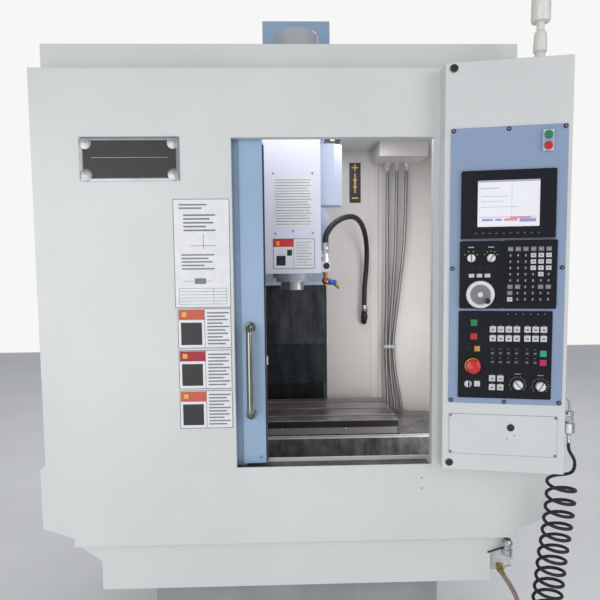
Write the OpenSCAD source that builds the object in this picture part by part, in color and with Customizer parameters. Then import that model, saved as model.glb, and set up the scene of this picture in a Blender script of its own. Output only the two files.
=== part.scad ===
// Vertical machining center with a sheet metal enclosure, one sliding door and a turned control box.
// Lengths are in millimetres. X runs to the operator's right, Y runs away from the operator, Z is up.
// The origin lies on the floor, in the middle of the six levelling feet.

/* [Enclosure] */
// Width of the upper cabinet
cab_w = 1538; // [1520:2:1600]
// Width of the lower belt of the enclosure
belt_w = 1570; // [1562:2:1660]
// Height of the cabinet above the floor
cab_top = 2060; // [2040:5:2140]
// Height of the step between cabinet and belt
belt_top = 885; // [850:5:895]
// Height of the belt's lower corner
belt_low = 685; // [670:1:700]
// Width of the enclosure at its lower edge
toe_w = 1382; // [1340:2:1420]
// Height of the enclosure's lower edge
panel_low = 623; // [600:1:640]
// Distance that the front panel stands before the base
front_gap = 100; // [92:1:130]
// Depth of the work area, from the front panel to the back wall
chamber_depth = 1000; // [980:1:1020]
// Thickness of the sheet metal
sheet = 3; // [2:0.5:4]
// Height of the raised roof hood above the cabinet
hood_h = 106; // [60:2:160]
// Distance that the roof hood stands back from the front panel
hood_setback = 100; // [60:5:140]

/* [Door] */
// Left edge of the door opening, measured from the middle
opening_left = 186; // [170:1:200]
// Right edge of the door opening, measured from the middle
opening_right = 418; // [400:1:425]
// Height of the lower edge of the door opening
opening_low = 866; // [860:1:872]
// Height of the upper edge of the door opening
opening_top = 1863; // [1800:1:1880]
// Width of the sliding door
door_w = 622; // [612:1:640]
// Thickness of the folded door panel
door_t = 28; // [20:1:30]
// Length of the door handle between its feet
handle_len = 272; // [200:2:340]
// Diameter of the handle tube
handle_d = 22; // [16:1:28]

/* [Work table] */
// Length of the work table
table_l = 650; // [630:10:660]
// Depth of the work table
table_d = 400; // [390:1:404]
// Thickness of the work table
table_t = 55; // [48:1:60]
// Height of the table top above the floor
table_top = 876; // [870:1:880]
// Distance between neighbouring T slots
slot_pitch = 125; // [100:1:130]
// Width of a T slot's neck
slot_w = 14; // [12:1:18]

/* [Spindle and head] */
// Diameter of the spindle nose
nose_d = 90; // [70:1:100]
// Height of the spindle nose's face above the floor
nose_z = 1391; // [1380:1:1400]
// Distance from the spindle axis to the back wall
spindle_to_wall = 450; // [445:1:460]
// Width of the head's front cover
head_w = 212; // [204:1:220]
// Diameter of the spindle motor
motor_d = 190; // [150:2:210]
// Height of the spindle motor
motor_h = 432; // [300:2:460]

/* [Base and column] */
// Width of the cast base
base_w = 930; // [900:2:936]
// Length of the cast base
base_l = 1600; // [1590:2:1640]
// Height of the underside of the base above the floor
foot_h = 60; // [50:1:80]
// Width of the column at its foot
column_w = 500; // [460:2:540]
// Height of the column's top above the floor
column_top = 1990; // [1970:1:2010]
// Width of a guide rail
rail_w = 23; // [20:1:25]
// Diameter of a ball screw
screw_d = 32; // [25:1:36]

/* [Control box] */
// Width of the control box across its turned face
box_w = 343; // [338:1:380]
// Height of the control box
box_h = 1179; // [1100:1:1240]
// Angle by which the face is turned to the operator
box_turn = 12.3; // [6:0.1:16]
// Height of the control box's underside
box_low = 874; // [840:1:900]
// Width of the display unit
display_w = 257; // [240:1:262]
// Height of the display unit
display_h = 194; // [180:1:196]
// Diameter of the handwheel
wheel_d = 78; // [60:1:80]

/* [Tool magazine] */
// Number of tool places on the carousel
pockets = 12; // [10:1:12]
// Radius of the circle that the tools hang on
pocket_r = 200; // [195:1:205]

/* [Hoses] */
// Diameter of the coolant hose
hose_d = 22; // [16:1:26]
// Outer diameter of the coiled air hose
coil_d = 86; // [60:2:90]
// Diameter of the air hose itself
air_d = 10; // [8:0.5:12]
// Diameter of the drain hose
drain_d = 15; // [10:0.5:18]

/* [Hidden] */
$fn = 48;

// Running gap between plates that slide over each other
plate_gap = 2.5;
// Thickness of a way cover plate
cover_t = 2.5;
// Gap between soft or round pieces that only touch
touch = 0.3;
// Depth of the cast recesses in the flanks of the base and the column
recess = 14;

// Enclosure places
cab_hw = cab_w / 2;
belt_hw = belt_w / 2;
toe_hw = toe_w / 2;
front_y = -base_l / 2 - front_gap;
front_in = front_y + sheet;
wall_y = front_y + chamber_depth;
toe_z = panel_low + 28;
belt_step = 14;
panel_rear = wall_y + 50;
hood_y = front_y + hood_setback;
hood_top = cab_top + hood_h;
hood_right = cab_hw - 67;
ceiling_z = cab_top - 45;

// Front bearing of the Y ball screw, and the shift that the hoses share with the enclosure
y_block = 200 - base_l / 2;
hose_shift = [0, front_y + 900, 0];

// Skirt under the enclosure
skirt_hw = toe_hw - 76;
skirt_y = front_y + 20;
skirt_top = panel_low - 55;
skirt_low = skirt_top - 94;

// Spindle and column
spindle_y = wall_y - spindle_to_wall;
column_y = wall_y + 40;
rail_h = 22;
rail_x = 120;
column_back = column_y + 500;
base_top = table_top - 316;
seat_z = base_top + 90;

// Saddle and table; the rest place is the rear end of the Y travel
saddle_rear = wall_y - 100;
saddle_front = saddle_rear - 400;
saddle_mid = (saddle_rear + saddle_front) / 2;
saddle_low = table_top - 196;
saddle_top = saddle_low + 80;
saddle_hl = 480;
table_low = table_top - table_t;
y_rail_x = 200;
y_rail_z = saddle_low - 40;
x_rail_y = 100;
cover_hl = 690;
x_screw_z = saddle_low + 65;
// Place of the table at rest, to the right of the middle of its travel
table_rest = 89;
mid_rest = 0.45 * table_rest;
y_screw_z = saddle_low - 80;
z_screw_y = wall_y + 10;

// Door places
door_y = front_y + 34;
door_right = -96;
door_left = door_right - door_w;
door_low = opening_low + 2;
door_top = opening_top + 30;
track_z = door_top + touch;
handle_x = door_right - 44;
handle_z = (opening_low + opening_top) / 2 - 203;
handle_stand = 44;

// Control box places
box_x = 433;
box_y = front_y - 65;
box_top = box_low + box_h;
plate_t = 3;
unit_t = 8;

// Head places
cover_y = spindle_y - 130;
head_low = nose_z + 66;
head_top = ceiling_z - 58;
slide_low = nose_z + 9;
slide_y = wall_y - 12;
motor_x = 30;
motor_y = spindle_y + 200;
motor_z = head_top + 52;

// Magazine places
mag_x = -480;
mag_z = nose_z - 56;

// Solid between two corners given as ranges along X, Y and Z
module block(x, y, z) {
    translate([x[0], y[0], z[0]])
        cube([x[1] - x[0], y[1] - y[0], z[1] - z[0]]);
}

// Flat sheet cut to an outline in X and Z, with its front face at y
module sheet_xz(y, t) {
    translate([0, y + t, 0])
        rotate([90, 0, 0])
            linear_extrude(t)
                children();
}

// Outline in X and Z drawn out along Y from y0 to y1
module run_y(y0, y1) {
    translate([0, y1, 0])
        rotate([90, 0, 0])
            linear_extrude(y1 - y0)
                children();
}

// Outline in Y and Z drawn out along X from x0 to x1
module run_x(x0, x1) {
    translate([x0, 0, 0])
        rotate([90, 0, 90])
            linear_extrude(x1 - x0)
                children();
}

// Copies to the left and to the right of the middle plane
module both_sides() {
    children();
    mirror([1, 0, 0])
        children();
}

// Round bar along Y
module bar_y(x, z, y0, y1, d) {
    translate([x, y0, z])
        rotate([-90, 0, 0])
            cylinder(d = d, h = y1 - y0);
}

// Round bar along X
module bar_x(y, z, x0, x1, d) {
    translate([x0, y, z])
        rotate([0, 90, 0])
            cylinder(d = d, h = x1 - x0);
}

// Outline of a guide rail with its waist, standing on the line y = 0
module rail_outline() {
    polygon([[-rail_w / 2, 0], [rail_w / 2, 0], [rail_w / 2, 8], [rail_w / 2 - 4, 12],
        [rail_w / 2, 16], [rail_w / 2, rail_h], [-rail_w / 2, rail_h], [-rail_w / 2, 16],
        [4 - rail_w / 2, 12], [-rail_w / 2, 8]]);
}

// Carriage outline over a rail, with the same waist left free
module carriage_outline() {
    difference() {
        translate([-35, 6])
            square([70, 34]);
        translate([-rail_w / 2 - 0.5, 0])
            square([rail_w + 1, rail_h + 0.6]);
    }
}

// Frame of the turned face: x runs along the face, y up, z out to the operator
module on_face(u, v, w = 0) {
    translate([box_x, box_y, box_low])
        rotate([0, 0, -box_turn])
            rotate([90, 0, 0])
                translate([u, v, w])
                    children();
}

// Flat plate with round corners on the turned face
module face_plate(u, v, w0, t, r) {
    on_face(0, 0, w0)
        linear_extrude(t)
            round_rect(u, v, r);
}

// Rectangle between two ranges with round corners
module round_rect(u, v, r) {
    translate([u[0] + r, v[0]])
        square([u[1] - u[0] - 2 * r, v[1] - v[0]]);
    translate([u[0], v[0] + r])
        square([u[1] - u[0], v[1] - v[0] - 2 * r]);
    for (x = [u[0] + r, u[1] - r], y = [v[0] + r, v[1] - r])
        translate([x, y])
            circle(r);
}

// Outer outline of the enclosure seen from the front
module cabinet_outline() {
    polygon([[-cab_hw, cab_top], [cab_hw, cab_top], [cab_hw, belt_top],
        [belt_hw, belt_top - belt_step], [belt_hw, belt_low], [toe_hw, toe_z],
        [toe_hw, panel_low], [-toe_hw, panel_low], [-toe_hw, toe_z], [-belt_hw, belt_low],
        [-belt_hw, belt_top - belt_step], [-cab_hw, belt_top]]);
}

module machine_base() {
    foot_pos = [for (x = [-1, 1], y = [-700, 0, 700]) [x * (base_w / 2 + 32), y]];
    color("dimgray")
        difference() {
            union() {
                run_y(-base_l / 2, base_l / 2)
                    polygon([[-base_w / 2, foot_h], [base_w / 2, foot_h],
                        [base_w / 2, base_top - 45], [base_w / 2 - 60, base_top],
                        [60 - base_w / 2, base_top], [-base_w / 2, base_top - 45]]);
                both_sides()
                    block([y_rail_x - 32, y_rail_x + 32], [-base_l / 2 + 10, wall_y + 20],
                        [base_top - 20, y_rail_z]);
                block([-column_w / 2 - 15, column_w / 2 + 15], [column_y - 15, base_l / 2],
                    [base_top - 20, seat_z]);
                for (p = foot_pos)
                    translate([p[0], p[1], foot_h])
                        foot_lug(p[0] > 0 ? -1 : 1);
                // Ears for the anchor bolts
                for (x = [-1, 1], y = [-600, 600])
                    block([x * base_w / 2 - 62, x * base_w / 2 + 62], [y - 32, y + 32],
                        [0, foot_h + 36]);
                both_sides()
                    translate([y_rail_x, 0, y_rail_z])
                        run_y(-base_l / 2 + 20, wall_y - 1)
                            rail_outline();
                block([-35, 35], [y_block, y_block + 40], [base_top - 20, y_screw_z + 40]);
                block([-35, 35], [wall_y - 20, wall_y + 20], [base_top - 20, y_screw_z + 40]);
                block([-60, 60], [y_block - 29, y_block - 17], [base_top - 20, y_screw_z + 55]);
            }
            // Free channel for the Y motor, its coupling and the ball screw's nut
            block([-72, 72], [-base_l / 2 - 1, y_block - 29], [y_screw_z - 62, base_top + 1]);
            block([-72, 72], [y_block - 17, y_block], [y_screw_z - 62, base_top + 1]);
            block([-72, 72], [y_block + 40, wall_y - 20], [y_screw_z - 62, base_top + 1]);
            bar_y(0, y_screw_z, y_block - 1, wall_y + 21, screw_d - 6);
            bar_y(0, y_screw_z, y_block - 30, y_block - 16, 36);
            // Cast recesses in both flanks
            both_sides()
                for (y = [-560, -180, 200, 560])
                    block([base_w / 2 - recess, base_w / 2 + 1], [y - 110, y + 110],
                        [foot_h + 90, base_top - 110]);
            for (p = foot_pos)
                translate([p[0], p[1], foot_h - 1])
                    cylinder(d = 26, h = 52);
            for (x = [-1, 1], y = [-600, 600])
                translate([x * (base_w / 2 + 30), y, -1])
                    cylinder(d = 18, h = foot_h + 38);
        }
}

// Lug beside the base that a levelling screw goes through
module foot_lug(side) {
    cylinder(r = 42, h = 50);
    translate([side > 0 ? 0 : -60, -42, 0])
        cube([60, 84, 50]);
}

module leveling_feet() {
    color("darkgray")
        for (x = [-1, 1], y = [-700, 0, 700])
            translate([x * (base_w / 2 + 32), y, 0]) {
                rotate_extrude()
                    polygon([[0, 0], [55, 0], [55, 12], [50, 18], [24, 24], [12, 24],
                        [12, foot_h + 100], [10, foot_h + 104], [0, foot_h + 104]]);
                translate([0, 0, foot_h - 16])
                    hex_nut(12, 38, 16);
                translate([0, 0, foot_h + 50])
                    hex_nut(12, 38, 16);
            }
}

// Hexagon nut with its bore filled by the screw it sits on
module hex_nut(r, across, h) {
    cylinder(d = across / cos(30), h = h, $fn = 6);
}

module column() {
    arm_x = [mag_x - 40, mag_x + 60];
    color("gainsboro")
        difference() {
            union() {
                intersection() {
                    run_y(column_y, column_back)
                        polygon([[-column_w / 2, seat_z], [column_w / 2, seat_z],
                            [column_w / 2 - 40, column_top], [40 - column_w / 2, column_top]]);
                    run_x(-column_w, column_w)
                        polygon([[column_y, seat_z], [column_back, seat_z],
                            [column_back, seat_z + 500], [column_back - 160, column_top],
                            [column_y, column_top]]);
                }
                both_sides()
                    translate([rail_x, column_y, 1120])
                        rotate([90, 0, 0])
                            rotate([90, 0, 0])
                                mirror([0, 0, 1])
                                    linear_extrude(column_top - 1150)
                                        rail_outline();
                // Bearing blocks of the Z ball screw
                block([-40, 40], [slide_y + 3, column_y + 1], [1040, 1090]);
                block([-40, 40], [slide_y + 3, column_y + 1], [column_top - 50, column_top]);
                // Arm that carries the tool magazine
                block([arm_x[0], -column_w / 2 + 60], [column_y + 30, column_y + 110],
                    [mag_z + 225, mag_z + 285]);
                block(arm_x, [spindle_y - 45, column_y + 110], [mag_z + 225, mag_z + 285]);
                block([arm_x[0], arm_x[1]], [spindle_y - 30, spindle_y + 30],
                    [mag_z + 206, mag_z + 225]);
            }
            block([-52, 52], [column_y - 1, column_y + 60], [1090, column_top - 50]);
            translate([0, z_screw_y, 1039])
                cylinder(d = screw_d - 6, h = column_top);
            both_sides()
                for (z = [760, 1120])
                    intersection() {
                        block([column_w / 2 - 60, column_w / 2 + 1],
                            [column_y + 110, column_y + 330], [z, z + 240]);
                        run_y(column_y, column_back)
                            polygon([[column_w / 2 - recess, seat_z], [column_w / 2 + 9, seat_z],
                                [column_w / 2 - 31, column_top],
                                [column_w / 2 - 40 - recess, column_top]]);
                    }
            // Groove for the magazine's slide bar
            run_x(arm_x[0] - 1, arm_x[1] + 1)
                translate([spindle_y, mag_z + 205])
                    square([12.6, 20.6], center = true);
        }
}

// Servo motor along Y, its flange towards +Y
module servo(len, size) {
    translate([-size / 2, 0, -size / 2])
        cube([size, len - 12, size]);
    translate([-size / 2 - 5, len - 12, -size / 2 - 5])
        cube([size + 10, 12, size + 10]);
    translate([0, len, 0])
        rotate([-90, 0, 0])
            cylinder(d = 34, h = 14);
    translate([-18, 10, size / 2])
        cube([36, 34, 14]);
}

module y_motor() {
    color("dimgray")
        translate([0, -base_l / 2 + 25, y_screw_z])
            servo(146, 100);
}

// Ball screw along Y with turned down ends of the lengths e0 and e1
module ball_screw(len, e0, e1) {
    neck = screw_d / 2 - 3.3;
    rotate([-90, 0, 0])
        rotate_extrude()
            polygon([[0, 0], [9, 0], [9, 12], [neck, 13], [neck, e0], [screw_d / 2, e0],
                [screw_d / 2, len - e1], [neck, len - e1], [neck, len], [0, len]]);
}

module y_screw() {
    color("silver")
        translate([0, y_block - 14.7, y_screw_z])
            ball_screw(wall_y - y_block + 33.7, 55, 39.3);
}

module x_screw() {
    color("silver")
        translate([touch - saddle_hl, saddle_mid, x_screw_z])
            rotate([0, 0, -90])
                ball_screw(2 * saddle_hl - 1, 40, 39.3);
}

module z_screw() {
    color("silver")
        translate([0, z_screw_y, column_top - 1])
            rotate([-90, 0, 0])
                ball_screw(column_top - 1042, 49.3, 49.3);
}

module front_panel() {
    flange = 27;
    color("gainsboro") {
        difference() {
            sheet_xz(front_y, sheet)
                cabinet_outline();
            block([-opening_left, opening_right], [front_y - 1, front_y + sheet + 1],
                [opening_low, opening_top]);
        }
        // Folded flanges round the opening
        block([opening_right, opening_right + sheet], [front_in, front_in + flange],
            [opening_low - sheet, opening_top + sheet]);
        block([-opening_left - sheet, -opening_left], [front_in, front_in + flange],
            [opening_low - sheet, opening_top + sheet]);
        block([-opening_left, opening_right], [front_in, front_in + flange],
            [opening_top, opening_top + sheet]);
        // Sill with the lower door track and its bright lip
        block([door_left - 20, opening_right + 40], [front_in, front_y + 72],
            [opening_low - 10, opening_low - 10 + sheet]);
        block([door_left - 20, opening_right + 40], [front_y + 70, front_y + 70 + sheet],
            [opening_low - 10, opening_low + 5]);
        // Upper door track
        block([door_left - 20, -door_left + 10], [door_y + 4, door_y + door_t - 4],
            [track_z, track_z + 14]);
        block([door_left - 20, -door_left + 10], [front_in, door_y + door_t - 4],
            [track_z + 14, track_z + 14 + sheet]);
    }
}

module side_panels() {
    color("gainsboro")
        both_sides()
            run_y(front_in, panel_rear)
                polygon([[cab_hw, cab_top], [cab_hw, belt_top], [belt_hw, belt_top - belt_step],
                    [belt_hw, belt_low], [toe_hw, toe_z], [toe_hw, panel_low],
                    [toe_hw - sheet, panel_low], [toe_hw - sheet, toe_z + 2],
                    [belt_hw - sheet, belt_low + 2], [belt_hw - sheet, belt_top - belt_step - 1],
                    [cab_hw - sheet, belt_top - 1], [cab_hw - sheet, cab_top]]);
}

module roof_cover() {
    hole_x = 215;
    hole_y = [spindle_y - 170, wall_y - 5];
    color("gainsboro")
        difference() {
            union() {
                // Ledge and hood
                block([-cab_hw, cab_hw], [front_y, panel_rear], [cab_top, cab_top + sheet]);
                block([-cab_hw, hood_right], [hood_y, panel_rear], [cab_top, hood_top]);
                // Ceiling of the work area and its frame round the head
                block([-cab_hw + sheet, cab_hw - sheet], [front_y + 90, wall_y],
                    [ceiling_z, ceiling_z + sheet]);
                block([-hole_x - sheet, hole_x + sheet], [hole_y[0] - sheet, wall_y],
                    [ceiling_z, cab_top + 1]);
            }
            block([sheet - cab_hw, hood_right - sheet], [hood_y + sheet, panel_rear - sheet],
                [cab_top + sheet, hood_top - sheet]);
            block([-hole_x, hole_x], hole_y, [ceiling_z - 1, hood_top + 1]);
            block([-hole_x, hole_x], [wall_y - 6, panel_rear + 1], [cab_top - 1, hood_top + 1]);
        }
}

module rear_wall() {
    slot = 168;
    arm_x = [mag_x - 44, mag_x + 64];
    color("mistyrose")
        difference() {
            union() {
                both_sides() {
                    sheet_xz(wall_y, sheet)
                        polygon([[slot, 640], [toe_hw - sheet - 2, 640],
                            [toe_hw - sheet - 2, toe_z + 3], [cab_hw - sheet, belt_low - 1],
                            [cab_hw - sheet, ceiling_z], [slot, ceiling_z]]);
                    block([slot, slot + sheet], [wall_y, column_y - touch],
                        [seat_z, column_top - touch]);
                }
            }
            block(arm_x, [wall_y - 1, wall_y + sheet + 1], [mag_z + 221, mag_z + 289]);
        }
}

module chip_pan() {
    pan_z = skirt_top + 20;
    color("slategray") {
        both_sides() {
            run_y(skirt_y + 8, wall_y)
                polygon([[base_w / 2 + 4, pan_z - 8], [toe_hw - sheet, pan_z + 44],
                    [toe_hw - sheet, pan_z + 47], [base_w / 2 + 4, pan_z - 5]]);
        }
        // Fixed front segment of the Y way cover with its end wall
        way_cover_y(front_y + 50, 186, 268, saddle_low - 14);
        block([-268, 268], [front_y + 42, front_y + 50], [base_top - 20, saddle_low - 11.5]);
        block([-base_w / 2 - 4, base_w / 2 + 4], [front_y + 28, front_y + 50],
            [pan_z - 8, pan_z - 5]);
    }
}

// Way cover segment over the Y rails: a flat top with folded sides
module way_cover_y(y, len, hw, z) {
    difference() {
        block([-hw, hw], [y, y + len], [z - 22, z + cover_t]);
        block([cover_t - hw, hw - cover_t], [y - 1, y + len + 1], [z - 23, z]);
    }
}

module y_cover_mid() {
    color("slategray") {
        way_cover_y(front_y + 195, 190, 273, saddle_low - 8.5);
        // Wiper that slides on the fixed segment
        block([-268, 268], [front_y + 195, front_y + 205],
            [saddle_low - 11.5 + touch, saddle_low - 8]);
    }
}

module drip_skirt() {
    rear = wall_y;
    inner = base_w / 2;
    color("gainsboro") {
        // Front sheet
        sheet_xz(skirt_y, sheet)
            polygon([[-toe_hw + 2, panel_low - 3], [toe_hw - 2, panel_low - 3],
                [skirt_hw, skirt_top], [skirt_hw, skirt_low], [-skirt_hw, skirt_low],
                [-skirt_hw, skirt_top]]);
        sheet_xz(rear - sheet, sheet)
            polygon([[-skirt_hw, skirt_low], [-inner, skirt_low], [-inner, skirt_top],
                [-skirt_hw, skirt_top]]);
        sheet_xz(rear - sheet, sheet)
            polygon([[skirt_hw, skirt_low], [inner, skirt_low], [inner, skirt_top],
                [skirt_hw, skirt_top]]);
        // Flared sides, floor and inner wall along the base
        both_sides()
            run_y(skirt_y, rear)
                polygon([[inner, skirt_low], [skirt_hw, skirt_low], [skirt_hw, skirt_top],
                    [toe_hw - 1, panel_low], [toe_hw - 5, panel_low],
                    [skirt_hw - sheet, skirt_top + 1], [skirt_hw - sheet, skirt_low + sheet],
                    [inner + sheet, skirt_low + sheet], [inner + sheet, skirt_top - 26],
                    [inner, skirt_top - 26]]);
        block([-inner, inner], [skirt_y, -base_l / 2], [skirt_low, skirt_low + sheet]);
        block([-inner, inner], [-base_l / 2 - 3, -base_l / 2], [skirt_low, skirt_top - 60]);
        // Sump at the right front corner, with a folded rim
        block([skirt_hw, skirt_hw + 64], [skirt_y + 26, skirt_y + 180],
            [skirt_low + 22, skirt_top + 18]);
    }
}

// Segment of the column's telescopic cover: front plate, folded sides and a lip at its foot
module way_cover_z(y, hw, z0, z1, back) {
    difference() {
        block([-hw, hw], [y, back], [z0, z1]);
        block([cover_t - hw, hw - cover_t], [y + cover_t, back + 1], [z0 - 1, z1 + 1]);
    }
}

module z_cover_lower() {
    color("dimgray")
        way_cover_z(wall_y - 32, 150, seat_z, 1000, column_y);
}

module z_cover_mid() {
    color("dimgray") {
        way_cover_z(wall_y - 37, 155, 936, 1223, wall_y);
        // Wiper that slides on the lower segment
        block([-150, 150], [wall_y - 35, wall_y - 32 - touch], [936, 946]);
    }
}

module z_cover_upper() {
    color("dimgray")
        union() {
            way_cover_z(wall_y - 42, 160, 1123, slide_low, wall_y - 4);
            block([-160, 160], [wall_y - 43.5, wall_y - 41], [1123, 1153]);
        }
}

module column_top_cover() {
    x = [-116, 190];
    y = [wall_y + 6, wall_y + 260];
    color("lightsteelblue")
        run_x(x[0], x[1])
            polygon([[y[0], column_top], [y[1], column_top], [y[1], cab_top + 440],
                [y[1] - 60, cab_top + 540], [y[0] + 10, cab_top + 540],
                [y[0], cab_top + 530]]);
}

module lamp_box() {
    x = [384, 592];
    y = [wall_y - 222, wall_y];
    color("linen") {
        block(x, y, [ceiling_z - 64, ceiling_z]);
        for (cx = [448, 491, 536])
            translate([cx, wall_y - 40, ceiling_z - 84]) {
                cylinder(d = 24, h = 20);
                translate([0, 0, -14])
                    cylinder(d = 18, h = 14);
            }
    }
}

// Points of the conduits in X and Z, from the lamp box past the tie down behind the table
conduit_points = [
    [[448, ceiling_z - 98.3], [448, 1600], [447, 1350], [444, 1200], [443, 1105], [446, 980], [453, 810]],
    [[491, ceiling_z - 98.3], [488, 1600], [474, 1350], [464, 1200], [460, 1105], [466, 980], [485, 810]],
    [[536, ceiling_z - 98.3], [528, 1600], [502, 1350], [484, 1200], [477, 1105], [488, 980], [517, 810]]];

module conduits() {
    y = wall_y - 40;
    color("silver") {
        for (line = conduit_points)
            swept_tube(concat([for (p = line) [p[0], y, p[1]]],
                [[line[6][0], y + 4, 730], [line[6][0], y + 15, 704],
                    [line[6][0], wall_y - 15, 694], [line[6][0], wall_y - 7, 694],
                    [line[6][0], wall_y - touch, 694]]),
                16, 8, 3);
        // Tie that holds the three conduits to the wall
        block([430, 490], [y - 11, y - 8.5], [1096, 1114]);
        block([430, 490], [y + 8.5, y + 11], [1096, 1114]);
        block([430, 432.5], [y - 11, y + 11], [1096, 1114]);
        block([487.5, 490], [y - 11, y + 11], [1096, 1114]);
        block([456, 464], [y + 11, wall_y], [1098, 1112]);
    }
}

module coolant_tank() {
    y = [base_l / 2, base_l / 2 + 400];
    color("gray") {
        difference() {
            block([-base_w / 2, base_w / 2], y, [30, 400]);
            block([5 - base_w / 2, base_w / 2 - 5], [y[0] + 5, y[1] - 5], [35, 396]);
            block([-base_w / 2 + 60, base_w / 2 - 60], [y[0] + 60, y[1] - 60], [390, 401]);
        }
        for (x = [-base_w / 2 + 40, base_w / 2 - 40], cy = [y[0] + 40, y[1] - 40])
            translate([x, cy, 0])
                cylinder(d = 50, h = 30);
        // Pump on the tank's rim
        translate([base_w / 2 - 110, y[0] + 32, 400]) {
            cylinder(d = 54, h = 30);
            translate([0, 0, 30])
                cylinder(d = 50, h = 150);
        }
    }
}

cabinet_y = [column_back, column_back + 290];
cabinet_hw = 380;

module electrical_cabinet() {
    z = [seat_z + 10, column_top - 40];
    color("gainsboro") {
        difference() {
            block([-cabinet_hw, cabinet_hw], cabinet_y, z);
            block([sheet - cabinet_hw, cabinet_hw - sheet], [cabinet_y[0] + sheet, cabinet_y[1] + 1],
                [z[0] + sheet, z[1] - sheet]);
        }
        // Mounting plate with rows of drives
        block([40 - cabinet_hw, cabinet_hw - 40], [cabinet_y[0] + sheet, cabinet_y[0] + 12],
            [z[0] + 40, z[1] - 40]);
        for (x = [-300, -190, -80, 60, 190])
            block([x, x + 90], [cabinet_y[0] + 12, cabinet_y[0] + 180], [z[1] - 480, z[1] - 120]);
    }
}

module cabinet_door() {
    z = [seat_z + 10, column_top - 40];
    y = cabinet_y[1] + touch;
    color("gainsboro") {
        block([-cabinet_hw, cabinet_hw], [y, y + 22], z);
        // Hinge knuckles on the swing axis
        for (hz = [z[0] + 130, z[1] - 190])
            translate([cabinet_hw, y + 22, hz])
                cylinder(d = 14, h = 60);
        translate([-cabinet_hw + 60, y + 22, (z[0] + z[1]) / 2])
            rotate([-90, 0, 0]) {
                cylinder(d = 50, h = 8);
                translate([-9, -60, 8])
                    cube([18, 100, 16]);
            }
        // Main switch
        translate([cabinet_hw - 120, y + 22, z[1] - 140])
            rotate([-90, 0, 0]) {
                translate([-32, -32, 0])
                    cube([64, 64, 6]);
                cylinder(d = 50, h = 14);
                translate([-8, -24, 14])
                    cube([16, 48, 14]);
            }
    }
}

module control_box() {
    run = box_w * cos(box_turn);
    fall = box_w * sin(box_turn);
    corner = 8;
    color("lightgray") {
        difference() {
            translate([0, 0, box_low])
                linear_extrude(box_h)
                    polygon([[box_x, box_y], [box_x + run, box_y - fall],
                        [box_x + run, front_y], [box_x + 2, front_y]]);
            // Recesses of the two plugs
            on_face(23, box_h - 16, -6)
                cylinder(r = 12.2, h = 7);
            on_face(21, 21, -6)
                cylinder(r = 11.6, h = 7);
            // Shadow gap of the lower cover plate
            face_plate([19, 323], [49, 170], -1.5, 2, 3);
        }
        // Lower cover plate with its plug and screws
        face_plate([20, 322], [50, 169], -1.5, 3, 3);
        on_face(194, 133, 1.5)
            cylinder(r = 10.8, h = 1.5);
        for (u = [24, 318], v = [54, 165])
            on_face(u, v, 1.5)
                cylinder(r = 4, h = 1.2);
        // Plugs
        on_face(23, box_h - 16, -7)
            cylinder(r = 11.6, h = 9);
        on_face(21, 21, -7)
            cylinder(r = 11, h = 9);
    }
}

module control_plate() {
    color("lightsteelblue") {
        face_plate([16, 332], [203, 995], 0.02, plate_t - 0.02, 4);
        for (u = [24, 324], v = [211, 598, 988])
            on_face(u, v, plate_t)
                cylinder(d = 9, h = 3, $fn = 6);
        for (v = [209, 988])
            on_face(174, v, plate_t)
                cylinder(d = 9, h = 3, $fn = 6);
        // Frame of the start and stop buttons
        difference() {
            face_plate([263, 294], [921, 981], plate_t, 7, 6);
            for (v = [936, 966])
                on_face(278.5, v, plate_t - 0.01)
                    cylinder(r = 11.2, h = 8);
        }
    }
}

module start_button() {
    color("green")
        on_face(278.5, 966, plate_t + 2.5)
            rotate_extrude()
                polygon([[0, 0], [10.8, 0], [10.8, 6.5], [10, 7.5], [0, 7.5]]);
}

module stop_button() {
    color("red")
        on_face(278.5, 936, plate_t + 2.5)
            rotate_extrude()
                polygon([[0, 0], [10.8, 0], [10.8, 6.5], [10, 7.5], [0, 7.5]]);
}

module display_unit() {
    u = [46, 46 + display_w];
    v = [874 - display_h, 874];
    color("black") {
        difference() {
            face_plate(u, v, plate_t, unit_t, 5);
            face_plate([91, 260], [715, 846], plate_t + unit_t - 2, 3, 2);
        }
        // Soft keys under the screen
        for (i = [0:9])
            face_plate([82 + i * 18.8, 94 + i * 18.8], [692, 702], plate_t + unit_t, 1.5, 1);
    }
}

// Rows of small keys; pitch is the step between keys, size the key's own width and height
module key_grid(cols, rows, size, w0) {
    for (u = cols, v = rows)
        on_face(u - size[0] / 2, v - size[1] / 2, w0)
            cube([size[0], size[1], 1.6]);
}

module keyboard() {
    color("black") {
        face_plate([164.5, 309], [482, 677], plate_t, unit_t, 5);
        key_grid([for (i = [0:5]) 183 + i * 20.6], [for (i = [0:8]) 509 + i * 17.8], [14, 12],
            plate_t + unit_t);
    }
}

module handwheel_unit() {
    color("black")
        difference() {
            union() {
                face_plate([44, 164], [482, 676], plate_t, unit_t, 5);
                key_grid([77, 99, 121], [577, 599], [15, 10], plate_t + unit_t);
                on_face(101, 523, plate_t + unit_t)
                    cylinder(d = wheel_d + 8, h = 3);
            }
            for (u = [75, 130])
                on_face(u, 627, plate_t)
                    cylinder(r = 4, h = unit_t + 1);
            on_face(101, 523, plate_t)
                cylinder(r = 8, h = unit_t + 4);
        }
}

module handwheel() {
    color("whitesmoke")
        on_face(101, 523, plate_t + unit_t + 3 + touch)
            union() {
                rotate_extrude()
                    polygon([[0, -9], [7.6, -9], [7.6, 0], [wheel_d / 2, 0], [wheel_d / 2, 12],
                        [wheel_d / 2 - 2, 14], [wheel_d / 2 - 9, 14], [wheel_d / 2 - 11, 11],
                        [8, 11], [7, 13], [0, 13]]);
                translate([18, -18, 11])
                    cylinder(d = 15, h = 16);
            }
}

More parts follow.
